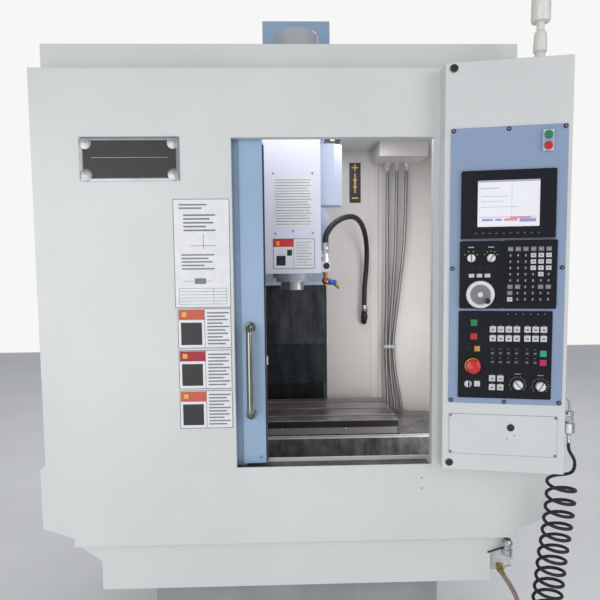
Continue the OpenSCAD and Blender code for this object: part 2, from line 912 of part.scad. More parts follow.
// Small knob with a pointer rib and a spindle through the panel
module knob(r, h, stub) {
    rotate_extrude()
        polygon([[0, -stub], [3.6, -stub], [3.6, 0], [r, 0], [r - 0.6, h - 1], [r - 1.6, h],
            [0, h]]);
    translate([-1.2, 0, h])
        cube([2.4, r - 1, 1.2]);
}

module axis_knob() {
    color("dimgray")
        on_face(75, 627, plate_t + unit_t + touch)
            knob(11.5, 13, 7);
}

module step_knob() {
    color("dimgray")
        on_face(130, 627, plate_t + unit_t + touch)
            rotate([0, 0, -30])
                knob(11.5, 13, 7);
}

module operator_panel() {
    top = plate_t + 4;
    color("black")
        difference() {
            union() {
                face_plate([43, 301], [220, 475], plate_t, 4, 4);
                // Green and red cycle keys, mode keys and the key block
                key_grid([86], [401, 441], [18, 18], top);
                key_grid([72, 96], [365], [15, 15], top);
                key_grid([139, 161, 183, 205], [327, 353, 396, 422], [17, 17], top);
                key_grid([234, 256, 278], [327, 353, 396, 422], [17, 17], top);
                key_grid([139, 162], [253, 279], [17, 17], top);
                // Collar of the emergency stop, key switch and second key
                on_face(84, 315, top)
                    cylinder(r = 23, h = 4);
                on_face(71, 262, top)
                    cylinder(r = 11, h = 9);
                on_face(71 - 1.5, 262 - 8, top + 9)
                    cube([3, 16, 18]);
                key_grid([97], [262], [16, 16], top);
            }
            on_face(84, 315, plate_t)
                cylinder(r = 12.5, h = 10);
            for (p = [[210, 262], [272, 259]])
                on_face(p[0], p[1], plate_t - 0.01)
                    cylinder(r = 4, h = 8);
        }
}

module feed_knob() {
    color("dimgray")
        on_face(210, 262, plate_t + 4 + touch)
            rotate([0, 0, 40])
                knob(13, 15, 3.6);
}

module spindle_knob() {
    color("dimgray")
        on_face(272, 259, plate_t + 4 + touch)
            rotate([0, 0, -30])
                knob(13, 15, 3.6);
}

module e_stop() {
    color("red")
        on_face(84, 315, plate_t + 5.5)
            rotate_extrude()
                polygon([[0, 0], [12, 0], [12, 9.5], [20, 12.5], [21.5, 15.5], [21.5, 19.5],
                    [19, 23.5], [12, 26], [0, 27]]);
}

// Bottom centre of the signal lamp on the control box
lamp_x = 694;
lamp_y = front_y - 84;

module signal_lamp() {
    color("ivory")
        translate([lamp_x, lamp_y, box_top])
            rotate_extrude()
                polygon([[0, 0], [19, 0], [13.5, 22], [18, 24], [18.5, 60], [16, 78], [11, 81],
                    [11, 103], [26, 106], [27, 112], [27, 172], [29, 173], [29, 213], [27, 214],
                    [27, 216], [29, 217], [29, 257], [27, 258], [27, 260], [29, 261], [29, 301],
                    [27, 303], [22, 309], [0, 311]]);
}

// Air valve beside the control box and the wall adapter of the coolant hose
air_x = 808;
air_y = front_y - 82;

module hose_fittings() {
    side = box_x + box_w * cos(box_turn);
    color("silver") {
        // Bracket block from the box's flank, valve body, nut and barb
        block([side, air_x], [air_y - 10, air_y + 10], [1018, 1038]);
        translate([air_x, air_y, 0]) {
            translate([0, 0, 1012])
                cylinder(d = 24, h = 36);
            translate([0, 0, 981])
                cylinder(d = 33, h = 31, $fn = 6);
            translate([0, 0, 950])
                cylinder(d = 9, h = 31);
            // Hook shaped lever
            translate([-6, -4, 1048])
                cube([12, 8, 26]);
            translate([-3, -4, 1070])
                rotate([0, -24, 0])
                    cube([6, 8, 24]);
        }
        // Wall adapter: elbow towards the wall, hex and nut
        translate([343, wall_y - 30, 0]) {
            translate([0, 0, 1205])
                cylinder(d = 30, h = 66);
            translate([0, 0, 1271])
                cylinder(d = 34, h = 13, $fn = 6);
            translate([0, 0, 1284])
                cylinder(d = 26, h = 16);
        }
        bar_y(343, 1222, wall_y - 30, wall_y, 26);
        // Drain valve: pipe stub from the sump, body, bowl, brass nozzle and lever
        translate([skirt_hw + 46, front_y, 0]) {
            translate([0, 0, skirt_top + 4])
                rotate_extrude()
                    polygon([[0, -40], [14, -38], [17, -26], [17, 4], [13, 8], [13, 22], [17, 25],
                        [17, 36], [12, 44], [0, 45]]);
            translate([-4, 0, skirt_top - 6])
                cube([8, skirt_y + 26 - front_y, 8]);
            translate([-62, -3, skirt_top + 6])
                rotate([0, -17, 0])
                    cube([58, 6, 4]);
        }
        translate([skirt_hw + 34, skirt_y + 8, skirt_low + 34])
            rotate([0, -30, 0]) {
                translate([0, 0, -22])
                    cylinder(d = 16, h = 22);
                translate([0, 0, -8])
                    cylinder(d = 22, h = 10, $fn = 6);
            }
        translate([skirt_hw + 28, skirt_y + 4, skirt_low + 32])
            cube([14, 22, 12]);
    }
}

// Tube swept along points that are joined by a smooth curve; sides is the number of its flats
module swept_tube(points, d, sides, step = 4) {
    path = smooth_path(points, step);
    n = len(path);
    ring = [for (i = [0:n - 1])
        let (a = path[max(i - 1, 0)], b = path[min(i + 1, n - 1)], t = unit(b - a),
            s = unit(cross(t, abs(t[1]) > 0.9 ? [1, 0, 0] : [0, 1, 0])), q = cross(s, t))
            for (k = [0:sides - 1])
                path[i] + d / 2 * (cos(360 * k / sides) * s + sin(360 * k / sides) * q)];
    side_faces = [for (i = [0:n - 2], k = [0:sides - 1])
        let (m = (k + 1) % sides)
            [i * sides + k, i * sides + m, (i + 1) * sides + m, (i + 1) * sides + k]];
    cap_a = [for (k = [0:sides - 1]) sides - 1 - k];
    cap_b = [for (k = [0:sides - 1]) (n - 1) * sides + k];
    polyhedron(ring, concat([cap_a], side_faces, [cap_b]), convexity = 6);
}

function unit(v) = v / norm(v);

// Points of a curve through all given points, with step pieces between neighbours
function smooth_path(p, step) = concat([for (i = [0:len(p) - 2], k = [0:step - 1])
    let (a = p[max(i - 1, 0)], b = p[i], c = p[i + 1], e = p[min(i + 2, len(p) - 1)], t = k / step)
        0.5 * ((2 * b) + (c - a) * t + (2 * a - 5 * b + 4 * c - e) * t * t
            + (3 * b - a - 3 * c + e) * t * t * t)], [p[len(p) - 1]]);

hose_points = [[127, -420, 1572.3], [127, -420, 1578], [127, -420, 1586], [133, -418, 1608],
    [154, -405, 1638], [188, -360, 1664],
    [226, -290, 1680], [268, -200, 1684], [306, -110, 1664], [334, -30, 1616], [349, 30, 1550],
    [351, 62, 1470], [345, 70, 1390], [343, 70, 1318], [343, 70, 1308], [343, 70, 1300.3]];

module coolant_hose() {
    color("black")
        translate(hose_shift)
            swept_tube(hose_points, hose_d, 12, 3);
}

air_points = [[808, -982, 949.7], [808, -982, 945], [808, -982, 940], [812, -982, 926], [820, -983, 908],
    [822, -984, 892], [812, -985, 880], [806, -985, 870]];
air_tail = [[742, -960, 330], [746, -958, 312], [748, -958, 290], [748, -958, 276], [748, -958, 262.3]];
coil_axis = [[792, -985, 868], [786, -982, 760], [772, -974, 600], [742, -960, 330]];

module air_hose() {
    color("black")
        translate(hose_shift) {
            swept_tube(coil_axis, coil_d, 12, 2);
            swept_tube(air_points, air_d, 8, 3);
            swept_tube(air_tail, air_d, 8, 2);
        }
}

module air_gun() {
    color("steelblue")
        translate([748, front_y - 58, 0]) {
            translate([0, 0, 238])
                cylinder(d = 15, h = 24);
            translate([-13, -16, 130])
                cube([26, 34, 108]);
            translate([-12, -16, 112])
                cube([24, 74, 30]);
            translate([-8, -30, 150])
                cube([16, 10, 60]);
            translate([-6, -22, 196])
                cube([12, 8, 10]);
            translate([0, 58, 127])
                rotate([-90, 0, 0])
                    cylinder(d = 8, h = 70);
        }
}

drain_points = [[660, -872, 489], [670, -872, 472], [690, -873, 440], [708, -874, 400],
    [722, -874, 340], [736, -872, 260], [754, -866, 160], [776, -856, 70], [794, -838, 24],
    [806, -812, 8], [810, -775, 8], [803, -735, 8]];

module drain_hose() {
    color("rosybrown")
        translate(hose_shift)
            swept_tube(drain_points, drain_d, 8, 2);
}

module door_panel() {
    stile = 70;
    win_x = [door_left + 120, door_right - 140];
    win_z = [door_low + 190, door_top - 150];
    color("lightsteelblue") {
        difference() {
            block([door_left, door_right], [door_y, door_y + door_t], [door_low, door_top]);
            // The middle of the panel is set back from the two stiles
            block([door_left + 40, door_right - stile], [door_y - 1, door_y + 8],
                [door_low - 1, door_top + 1]);
            // The panel is an open folded tray at its back
            block([door_left + sheet, win_x[0] - 20], [door_y + 11, door_y + door_t + 1],
                [door_low + sheet, door_top - sheet]);
            block([win_x[1] + 20, door_right - sheet], [door_y + 11, door_y + door_t + 1],
                [door_low + sheet, door_top - sheet]);
            block(win_x, [door_y - 1, door_y + door_t + 1], win_z);
            block([win_x[0] - 12, win_x[1] + 12], [door_y + 14, door_y + 20],
                [win_z[0] - 12, win_z[1] + 12]);
        }
        // Closing edge with its rubber strip and striker
        block([door_right, door_right + 5], [door_y + 4, door_y + door_t - 4],
            [door_low + 4, door_top - 40]);
        block([door_right + 5, door_right + 9], [door_y + 6, door_y + 16], [1179, 1205]);
        // Guide tongue in the lower track
        block([door_left + 60, door_right - 60], [door_y + 12, door_y + 16],
            [opening_low - 6, door_low]);
    }
}

module door_window() {
    win_x = [door_left + 120, door_right - 140];
    win_z = [door_low + 190, door_top - 150];
    color("lightcyan", 0.5)
        block([win_x[0] - 12, win_x[1] + 12], [door_y + 14, door_y + 20],
            [win_z[0] - 12, win_z[1] + 12]);
}

module door_handle() {
    z0 = handle_z - handle_len / 2;
    z1 = handle_z + handle_len / 2;
    y = door_y - handle_stand;
    bend = 18;
    color("silver") {
        translate([handle_x, y, z0 + bend])
            cylinder(d = handle_d, h = z1 - z0 - 2 * bend);
        for (end = [0, 1])
            translate([handle_x, y + bend, end ? z1 - bend : z0 + bend])
                mirror([0, 0, 1 - end])
                    rotate([0, -90, 180])
                        rotate_extrude(angle = 90)
                            translate([bend, 0])
                                circle(d = handle_d);
        for (z = [z0, z1])
            bar_y(handle_x, z, y + bend, door_y, handle_d);
        for (z = [z0, z1])
            bar_y(handle_x, z, door_y - 4, door_y, handle_d + 12);
    }
}

module saddle() {
    color("dimgray") {
        difference() {
            union() {
                block([-saddle_hl, saddle_hl], [saddle_front, saddle_rear], [saddle_low, saddle_top]);
                for (x = [-y_rail_x, y_rail_x], y = [saddle_mid - 120, saddle_mid + 120])
                    translate([x, 0, y_rail_z])
                        run_y(y - 42, y + 42)
                            carriage_outline();
                for (y = [saddle_mid - x_rail_y, saddle_mid + x_rail_y])
                    translate([0, y, saddle_top])
                        run_x(-saddle_hl + 10, saddle_hl - 10)
                            rail_outline();
                // Bracket of the Y nut
                block([-34, 34], [saddle_mid - 35, saddle_mid + 35], [y_screw_z - 34, saddle_low]);
                // End blocks of the X screw
                for (x = [-saddle_hl, saddle_hl - 40])
                    block([x, x + 40], [saddle_mid - 34, saddle_mid + 34],
                        [saddle_low, x_screw_z + 34]);
            }
            block([40 - saddle_hl, saddle_hl - 40], [saddle_mid - 42, saddle_mid + 42],
                [x_screw_z - 30, saddle_top + 30]);
            bar_x(saddle_mid, x_screw_z, -saddle_hl - 1, saddle_hl + 1, screw_d - 6);
            bar_y(0, y_screw_z, saddle_mid - 36, saddle_mid + 36, screw_d + 1);
            both_sides()
                for (x = [60, 260])
                    block([x, x + 150], [saddle_front - 1, saddle_front + 30],
                        [saddle_low + 16, saddle_top - 16]);
        }
        // X servo motor at the left end
        translate([-saddle_hl - 160, saddle_mid, x_screw_z])
            rotate([0, 0, -90])
                mirror([0, 0, 1])
                    servo(146, 96);
        block([-saddle_hl - 20, -saddle_hl], [saddle_mid - 50, saddle_mid + 50],
            [x_screw_z - 52, x_screw_z - 30]);
    }
}

// Way cover segment over the X rails: a flat top with folded front and rear sides
module way_cover_x(x0, x1, out, z, low) {
    y = [saddle_front - out, saddle_rear + out];
    difference() {
        block([x0, x1], y, [low, z + cover_t]);
        block([x0 - 1, x1 + 1], [y[0] + cover_t, y[1] - cover_t], [low - 1, z]);
    }
}

x_cover_z = table_low - 10;

module saddle_covers() {
    apron_hl = 640;
    color("dimgray") {
        both_sides()
            difference() {
                way_cover_x(450, cover_hl, 0, x_cover_z - 9, saddle_low + 30);
                block([449, saddle_hl], [saddle_front - 1, saddle_rear + 1],
                    [saddle_low, x_cover_z - 12]);
            }
        // End plates that close the covers
        both_sides()
            block([cover_hl - cover_t, cover_hl], [saddle_front + 1, saddle_rear - 1],
                [saddle_low + 30, x_cover_z - 7]);
        both_sides()
            block([saddle_hl, cover_hl - cover_t], [saddle_front + 2, saddle_front + 14],
                [saddle_low + 30, saddle_low + 40]);
        // Apron in front of the saddle
        block([-apron_hl, apron_hl], [saddle_front - 15, saddle_front - 12.5],
            [saddle_low + 8, table_low - 7]);
        block([-apron_hl, apron_hl], [saddle_front - 15, saddle_front],
            [saddle_low + 6, saddle_low + 8.5]);
        // Rear segment of the Y way cover, held under the saddle
        difference() {
            block([-278, 278], [saddle_front - 160, saddle_front + 30],
                [saddle_low - 25, saddle_low]);
            block([cover_t - 278, 278 - cover_t], [saddle_front - 161, saddle_front + 31],
                [saddle_low - 26, saddle_low - cover_t]);
        }
    }
}

module x_cover_mid() {
    color("gray") {
        for (side = [0, 1])
            translate([mid_rest, 0, 0])
                mirror([side, 0, 0]) {
                    way_cover_x(290.5, 580.5, 4.5, x_cover_z - 4.5, saddle_low + 30);
                    // Wiper that slides on the fixed segment
                    block([570.5, 580.5], [saddle_front, saddle_rear],
                        [x_cover_z - 6.5 + touch, x_cover_z - 4]);
                }
    }
}

module table_covers() {
    color("gray")
        translate([table_rest, 0, 0])
        both_sides() {
            way_cover_x(table_l / 2, table_l / 2 + 120, 9, x_cover_z, saddle_low + 30);
            block([table_l / 2, table_l / 2 + cover_t], [saddle_front - 5, saddle_rear + 5],
                [x_cover_z, table_low + 24]);
        }
}

module table() {
    y0 = saddle_mid - table_d / 2;
    y1 = saddle_mid + table_d / 2;
    color("rosybrown")
        translate([table_rest, 0, 0])
        difference() {
            union() {
                block([-table_l / 2, table_l / 2], [y0, y1], [table_low, table_top]);
                for (x = [-108, 108], y = [saddle_mid - x_rail_y, saddle_mid + x_rail_y]) {
                    translate([0, y, saddle_top])
                        run_x(x - 42, x + 42)
                            carriage_outline();
                    block([x - 42, x + 42], [y - 35, y + 35], [saddle_top + 40, table_low]);
                }
                // Bracket of the X nut
                block([-34, 34], [saddle_mid - 34, saddle_mid + 34], [x_screw_z - 26, table_low]);
            }
            bar_x(saddle_mid, x_screw_z, -35, 35, screw_d + 1);
            // T slots, the groove in the front edge and the drain groove round the top
            for (i = [-1:1])
                translate([0, saddle_mid + i * slot_pitch, table_top])
                    run_x(-table_l / 2 - 1, table_l / 2 + 1)
                        polygon([[-slot_w / 2, 1], [-slot_w / 2, -13], [-slot_w / 2 - 5.5, -13],
                            [-slot_w / 2 - 5.5, -23], [slot_w / 2 + 5.5, -23],
                            [slot_w / 2 + 5.5, -13], [slot_w / 2, -13], [slot_w / 2, 1]]);
            block([-table_l / 2 - 1, table_l / 2 + 1], [y0 - 1, y0 + 12],
                [table_top - 22, table_top - 6]);
        }
}

module head_casting() {
    front = cover_y + 14;
    color("lightsteelblue")
        difference() {
            union() {
                block([sheet - head_w / 2, head_w / 2 - sheet], [front, slide_y],
                    [head_low, head_top]);
                block([-150, 150], [slide_y - 120, slide_y], [slide_low, head_top]);
                run_x(-150, 150)
                    polygon([[slide_y - 220, head_low + 60], [slide_y - 120, head_low - 40],
                        [slide_y - 119, head_top], [slide_y - 220, head_top]]);
                // Carriages on the column rails
                for (x = [-rail_x, rail_x], z = [1440, 1780])
                    translate([x, column_y, z])
                        rotate([0, 0, 180])
                            linear_extrude(80)
                                carriage_outline();
                for (x = [-rail_x, rail_x], z = [1440, 1780])
                    block([x - 35, x + 35], [slide_y - 1, column_y - 39], [z, z + 80]);
                // Bracket of the Z nut
                block([-34, 34], [slide_y, z_screw_y + 34], [1610, 1690]);
                // Belt housing and motor seat on the top
                block([-96, motor_x + 96], [spindle_y - 90, motor_y + motor_d / 2],
                    [head_top, motor_z - 2]);
            }
            translate([0, z_screw_y, 1609])
                cylinder(d = screw_d + 1, h = 82);
            // Seat of the spindle housing
            translate([0, spindle_y, head_low - 1])
                cylinder(d = 130.2, h = nose_z + 257 - head_low + 1);
        }
}

module head_cover() {
    hw = head_w / 2;
    back = spindle_y + 60;
    color("lavender")
        difference() {
            block([-hw, hw], [cover_y, back], [head_low, head_top]);
            block([-hw + sheet, hw - sheet], [cover_y + sheet, back + 1],
                [head_low - 1, head_top + 1]);
        }
}

module head_side_box() {
    hw = head_w / 2;
    color("lightsteelblue") {
        // Upper box with its slanted corner, and the lower one with a slanted top
        translate([0, 0, head_top - 240])
            linear_extrude(230)
                polygon([[hw, spindle_y - 50], [hw + 57, spindle_y - 50],
                    [hw + 90, spindle_y - 20], [hw + 90, spindle_y + 60],
                    [hw, spindle_y + 60]]);
        run_y(spindle_y - 50, spindle_y + 50)
            polygon([[hw, head_low + 88], [hw + 36, head_low + 88], [hw + 36, head_low + 222],
                [hw, head_low + 246]]);
    }
}

module spindle_housing() {
    bore = nose_d / 2 + touch;
    color("silver")
        translate([0, spindle_y, 0])
            difference() {
                rotate_extrude()
                    polygon([[bore, nose_z + 33], [62.5, nose_z + 33], [62.5, nose_z + 47],
                        [76, nose_z + 47], [76, head_low], [65, head_low], [65, nose_z + 256],
                        [0, nose_z + 256], [0, nose_z + 245 + touch],
                        [bore, nose_z + 245 + touch]]);
                for (a = [0:60:359])
                    rotate([0, 0, a])
                        translate([69.5, 0, nose_z + 46])
                            cylinder(d = 7, h = 5);
            }
}

module spindle() {
    nose_r = nose_d / 2;
    color("gainsboro")
        translate([0, spindle_y, 0])
            difference() {
                rotate_extrude()
                    polygon([[22.2, nose_z], [nose_r - 2, nose_z], [nose_r, nose_z + 2],
                        [nose_r, nose_z + 245], [20, nose_z + 245], [20, nose_z + 90],
                        [13, nose_z + 66]]);
                // Drive key slots in the nose
                for (x = [-nose_r - 1, nose_r - 18])
                    translate([x, -8, nose_z - 1])
                        cube([19, 16, 9]);
            }
}

module spindle_motor() {
    r = motor_d / 2;
    color("silver")
        translate([motor_x, motor_y, motor_z - 2])
            union() {
                translate([-r, -r, 0])
                    cube([motor_d, motor_d, 16]);
                rotate_extrude()
                    polygon([[0, 16], [r - 4, 16], [r - 4, 40], [r, 44], [r, motor_h - 70],
                        [r - 5, motor_h - 66], [r - 5, motor_h - 12], [r - 12, motor_h],
                        [0, motor_h]]);
                translate([-36, -r - 30, 120])
                    cube([72, 40, 80]);
            }
}

module coolant_block() {
    hw = head_w / 2;
    y = spindle_y - 70;
    color("whitesmoke") {
        // Manifold block on the cover's flank, with a hex and ferrule for the hose
        block([hw, hw + 38], [y - 16, y + 40], [head_low + 4, head_low + 44]);
        translate([127, y, head_low + 44])
            cylinder(d = 20, h = 30);
        translate([127, y, head_low + 74])
            cylinder(d = 21, h = 41);
        block([hw, 127], [y - 6, y + 40], [head_low + 50, head_low + 66]);
        // Pipe down to the ball valve and the jointed nozzle
        translate([126, y, head_low - 50])
            cylinder(d = 14, h = 54);
        translate([126, y, head_low - 30])
            sphere(d = 28);
        translate([126, y, head_low - 30])
            rotate([0, 100, 0]) {
                cylinder(d = 18, h = 30);
                translate([0, 0, 30])
                    sphere(d = 22);
                translate([0, 0, 34])
                    rotate([0, 40, 0])
                        cylinder(d1 = 18, d2 = 9, h = 30);
            }
    }
}

module magazine_carriage() {
    color("gray")
        translate([mag_x, spindle_y, mag_z]) {
            // Slide bar, plate, shaft and indexing motor
            block([-270, 85], [-6, 6], [196, 215]);
            block([-270, 85], [-60, 60], [180, 196]);
            translate([0, 0, 56])
                cylinder(r = 58, h = 124);
            translate([0, 0, -16])
                cylinder(r = 20, h = 72);
            translate([0, 0, -24])
                cylinder(r = 34, h = 8);
            block([-170, -50], [-50, 50], [92, 180]);
        }
}

module magazine_disc() {
    color("silver")
        translate([mag_x, spindle_y, mag_z])
            union() {
                difference() {
                    rotate_extrude()
                        polygon([[20.4, 0], [150, 0], [150, 14], [60, 14], [56, 50], [20.4, 50]]);
                    for (i = [0:pockets - 1])
                        rotate([0, 0, 360 / pockets * (i + 0.5)])
                            translate([100, 0, -1])
                                cylinder(r = 16, h = 20);
                }
                for (i = [0:pockets - 1])
                    rotate([0, 0, 360 / pockets * i])
                        translate([pocket_r, 0, 0])
                            tool_place(i > 0);
            }
}

// Gripper of one tool place, with a holder and a cutter in it if it is filled
module tool_place(filled) {
    grip = 22.4;
    difference() {
        union() {
            translate([-62, -26, 0])
                cube([62, 52, 12]);
            cylinder(r = 31, h = 12);
        }
        translate([0, 0, -1])
            cylinder(r = grip, h = 14);
        translate([0, -20, -1])
            cube([40, 40, 14]);
    }
    if (filled)
        rotate_extrude($fn = 32)
            polygon([[0, -120], [8, -120], [8, -60], [17, -58], [17, -16], [31, -14], [31, -1],
                [grip, 0.5], [grip, 11.5], [28, 13], [28, 22], [22, 24], [12, 84], [0, 84]]);
}

machine_base();
leveling_feet();
column();
y_motor();
front_panel();
side_panels();
roof_cover();
rear_wall();
chip_pan();
drip_skirt();
z_cover_lower();
column_top_cover();
lamp_box();
conduits();
coolant_tank();
electrical_cabinet();
control_box();
control_plate();
display_unit();
keyboard();
handwheel_unit();
operator_panel();
signal_lamp();
hose_fittings();
air_hose();
air_gun();
drain_hose();
door_panel();
door_window();
door_handle();
saddle();
saddle_covers();
table();
table_covers();
head_casting();
head_cover();
head_side_box();
spindle_housing();
spindle_motor();
coolant_block();
z_cover_upper();
coolant_hose();
spindle();
x_screw();
y_screw();
z_screw();
x_cover_mid();
y_cover_mid();
z_cover_mid();
magazine_carriage();
magazine_disc();
e_stop();
start_button();
stop_button();
handwheel();
feed_knob();
spindle_knob();
axis_knob();
step_knob();
cabinet_door();
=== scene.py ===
from math import atan, cos, pi, radians, sin, sqrt

import bpy
from mathutils import Matrix, Vector


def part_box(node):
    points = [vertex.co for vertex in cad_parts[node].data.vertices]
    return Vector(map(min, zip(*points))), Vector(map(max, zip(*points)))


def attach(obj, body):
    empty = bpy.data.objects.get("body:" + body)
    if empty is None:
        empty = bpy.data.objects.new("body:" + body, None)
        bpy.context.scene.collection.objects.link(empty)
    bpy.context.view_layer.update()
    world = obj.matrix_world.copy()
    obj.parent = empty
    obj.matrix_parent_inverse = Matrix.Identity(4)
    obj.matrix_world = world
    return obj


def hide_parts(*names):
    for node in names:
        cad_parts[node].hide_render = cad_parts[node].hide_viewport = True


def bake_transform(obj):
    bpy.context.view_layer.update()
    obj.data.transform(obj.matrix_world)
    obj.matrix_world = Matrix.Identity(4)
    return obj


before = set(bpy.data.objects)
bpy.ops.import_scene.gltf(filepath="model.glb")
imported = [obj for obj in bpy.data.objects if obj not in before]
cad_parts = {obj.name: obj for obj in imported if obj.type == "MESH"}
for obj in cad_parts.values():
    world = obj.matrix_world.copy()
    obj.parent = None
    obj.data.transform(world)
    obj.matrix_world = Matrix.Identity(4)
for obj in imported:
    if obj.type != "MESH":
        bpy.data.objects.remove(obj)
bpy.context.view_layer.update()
MM = 0.001

# Upright surfaces that face the operator, in metres
PANEL_Y = -0.900
DOOR_Y = -0.866
HEAD_Y = -0.480
WALL_Y = 0.100

# Heights over the control box's own face: its blue plate, the operator panel and the units
PLATE = 0.003
PANEL = 0.007
UNIT = 0.011

# Thickness of the strokes printed on the control box, and of a field printed on a plate
INK = 0.00015
FILM = 0.00012

# Where the hoses leave and arrive, seen from above
AIR_VALVE = (0.808, -0.982)
BLOW_GUN = (0.748, -0.958)
HEAD_FEED = (0.127, -0.420)
WALL_FEED = (0.343, 0.070)

# Middle of the handwheel and of the small knobs on the control box's face
WHEEL = (0.101, 0.523)
FEED_KNOB = (0.210, 0.262)
SPINDLE_KNOB = (0.272, 0.259)
AXIS_KNOB = (0.075, 0.627)
STEP_KNOB = (0.130, 0.627)

# Control box's turned face: width, height, then out of it
TURN = radians(12.3)
FACE = Matrix((
    (cos(TURN), 0, -sin(TURN), 0.433),
    (-sin(TURN), 0, -cos(TURN), -0.965),
    (0, 1, 0, 0.874),
    (0, 0, 0, 1),
))


def upright(y):
    """Frame of an upright surface that faces the operator: width, height, then out of it."""
    return Matrix(((1, 0, 0, 0), (0, 0, -1, y), (0, 1, 0, 0), (0, 0, 0, 1)))


def shift(x, y, z):
    return Matrix.Translation((x, y, z))


def turn(degrees, axis="Z"):
    return Matrix.Rotation(radians(degrees), 4, axis)


def span(middle, width):
    """Both ends of a width that lies evenly about its middle."""
    return middle - width / 2, middle + width / 2


def into_scene(name, data):
    thing = bpy.data.objects.new(name, data)
    bpy.context.collection.objects.link(thing)
    return thing


# Camera

def set_camera():
    """Camera at the photograph's viewing place, with its direction and its lens."""
    eye = (-0.038, -2.680, 1.480)
    yaw, pitch, roll = radians(1.65), radians(4.72), radians(-0.57)
    ahead = Vector((sin(yaw) * cos(pitch), cos(yaw) * cos(pitch), -sin(pitch)))
    side = Vector((cos(yaw), -sin(yaw), 0))
    up = side.cross(ahead)
    right = side * cos(roll) + up * sin(roll)
    top = up * cos(roll) - side * sin(roll)
    lens = bpy.data.cameras.new("viewpoint")
    lens.sensor_width = 36
    lens.lens = 35.4
    lens.shift_y = 16 / 600
    lens.clip_end = 60
    camera = into_scene("viewpoint", lens)
    camera.matrix_world = shift(*eye) @ Matrix((right, top, -ahead)).transposed().to_4x4()
    bpy.context.scene.camera = camera


set_camera()


# Kinds of finish

def srgb(*seen):
    """Colour written as it is seen, from 0 to 255, as the shader needs it."""
    shares = [c / 255 for c in seen]
    return tuple(c / 12.92 if c <= 0.04045 else ((c + 0.055) / 1.055) ** 2.4 for c in shares)


def darker(colour, share):
    return tuple(c * share for c in colour)


class Finish:
    """A material whose colour, roughness and relief come from noise on the object's own coordinates."""

    def __init__(self, name, colour, rough, metal=0.0, coat=0.0, **inputs):
        self.skin = bpy.data.materials.new(name)
        self.skin.use_nodes = True
        self.nodes = self.skin.node_tree.nodes
        self.links = self.skin.node_tree.links
        self.shader = self.nodes["Principled BSDF"]
        self.colour = colour
        inputs.update(Base_Color=(*colour, 1), Roughness=rough, Metallic=metal, Coat_Weight=coat)
        for socket, value in inputs.items():
            self.shader.inputs[socket.replace("_", " ")].default_value = value

    def node(self, kind, **inputs):
        """New node, each input of which takes a value or what another node gives."""
        made = self.nodes.new("ShaderNode" + kind)
        for name, value in inputs.items():
            socket = made.inputs[name.replace("_", " ")]
            if isinstance(value, bpy.types.NodeSocket):
                self.links.new(value, socket)
            else:
                socket.default_value = value
        return made

    def noise(self, scale, detail=4, stretch=(1, 1, 1), rough=0.55):
        """Noise that stretch makes finer along an axis."""
        where = self.node("TexCoord").outputs["Object"]
        place = self.node("Mapping", Scale=stretch, Vector=where).outputs["Vector"]
        return self.node("TexNoise", Scale=scale, Detail=detail, Roughness=rough, Vector=place).outputs["Fac"]

    def ramp(self, source, low, high, dark, light):
        """Values of source between low and high turned into colours between dark and light."""
        band = self.node("ValToRGB", Fac=source)
        for stop, place, tone in zip(band.color_ramp.elements, (low, high), (dark, light)):
            stop.position = place
            stop.color = (*tone, 1)
        return band.outputs["Color"]

    def shades(self, source, low, high, share):
        """Colours from a share of the finish's own colour up to all of it."""
        return self.ramp(source, low, high, darker(self.colour, share), self.colour)

    def multiply(self, amount, a, b):
        mix = self.node("Mix", Factor=amount)
        mix.data_type = "RGBA"
        mix.blend_type = "MULTIPLY"
        self.links.new(a, mix.inputs[6])
        self.links.new(b, mix.inputs[7])
        return mix.outputs[2]

    def tint(self, source):
        self.links.new(source, self.shader.inputs["Base Color"])

    def roughen(self, source, low, high):
        spread = self.node("MapRange", Value=source, To_Min=low, To_Max=high)
        self.links.new(spread.outputs["Result"], self.shader.inputs["Roughness"])

    def relief(self, source, depth, strength, round_edge=0.0):
        """Small relief from source, over edges that are rounded in shading alone."""
        bump = self.node("Bump", Strength=strength, Distance=depth, Height=source)
        if round_edge:
            edge = self.node("Bevel", Radius=round_edge)
            edge.samples = 4
            self.links.new(edge.outputs["Normal"], bump.inputs["Normal"])
        self.links.new(bump.outputs["Normal"], self.shader.inputs["Normal"])


def enamel(name, colour, soil=0.10, rough=0.38):
    """Sprayed machine enamel: a faint orange peel, cloudy soiling and a few specks."""
    finish = Finish(name, colour, rough, coat=0.15, Coat_Roughness=0.25)
    tone = finish.shades(finish.noise(2.2, 5), 0.32, 0.68, 1 - soil)
    specks = finish.ramp(finish.noise(160, 2), 0.26, 0.31, (0.62, 0.60, 0.56), (1, 1, 1))
    finish.tint(finish.multiply(min(1.0, soil * 3), tone, specks))
    finish.roughen(finish.noise(9), rough - 0.07, rough + 0.12)
    finish.relief(finish.noise(420, 2), 0.00012, 0.5, 0.0015)
    return finish.skin


def casting(name, colour, soil=0.25, rough=0.5):
    """Painted cast iron with the lumps of its mould under the paint."""
    finish = Finish(name, colour, rough)
    finish.tint(finish.shades(finish.noise(5, 6), 0.3, 0.7, 1 - soil))
    finish.roughen(finish.noise(20), rough - 0.1, rough + 0.2)
    finish.relief(finish.noise(90, 5), 0.0009, 0.6, 0.003)
    return finish.skin


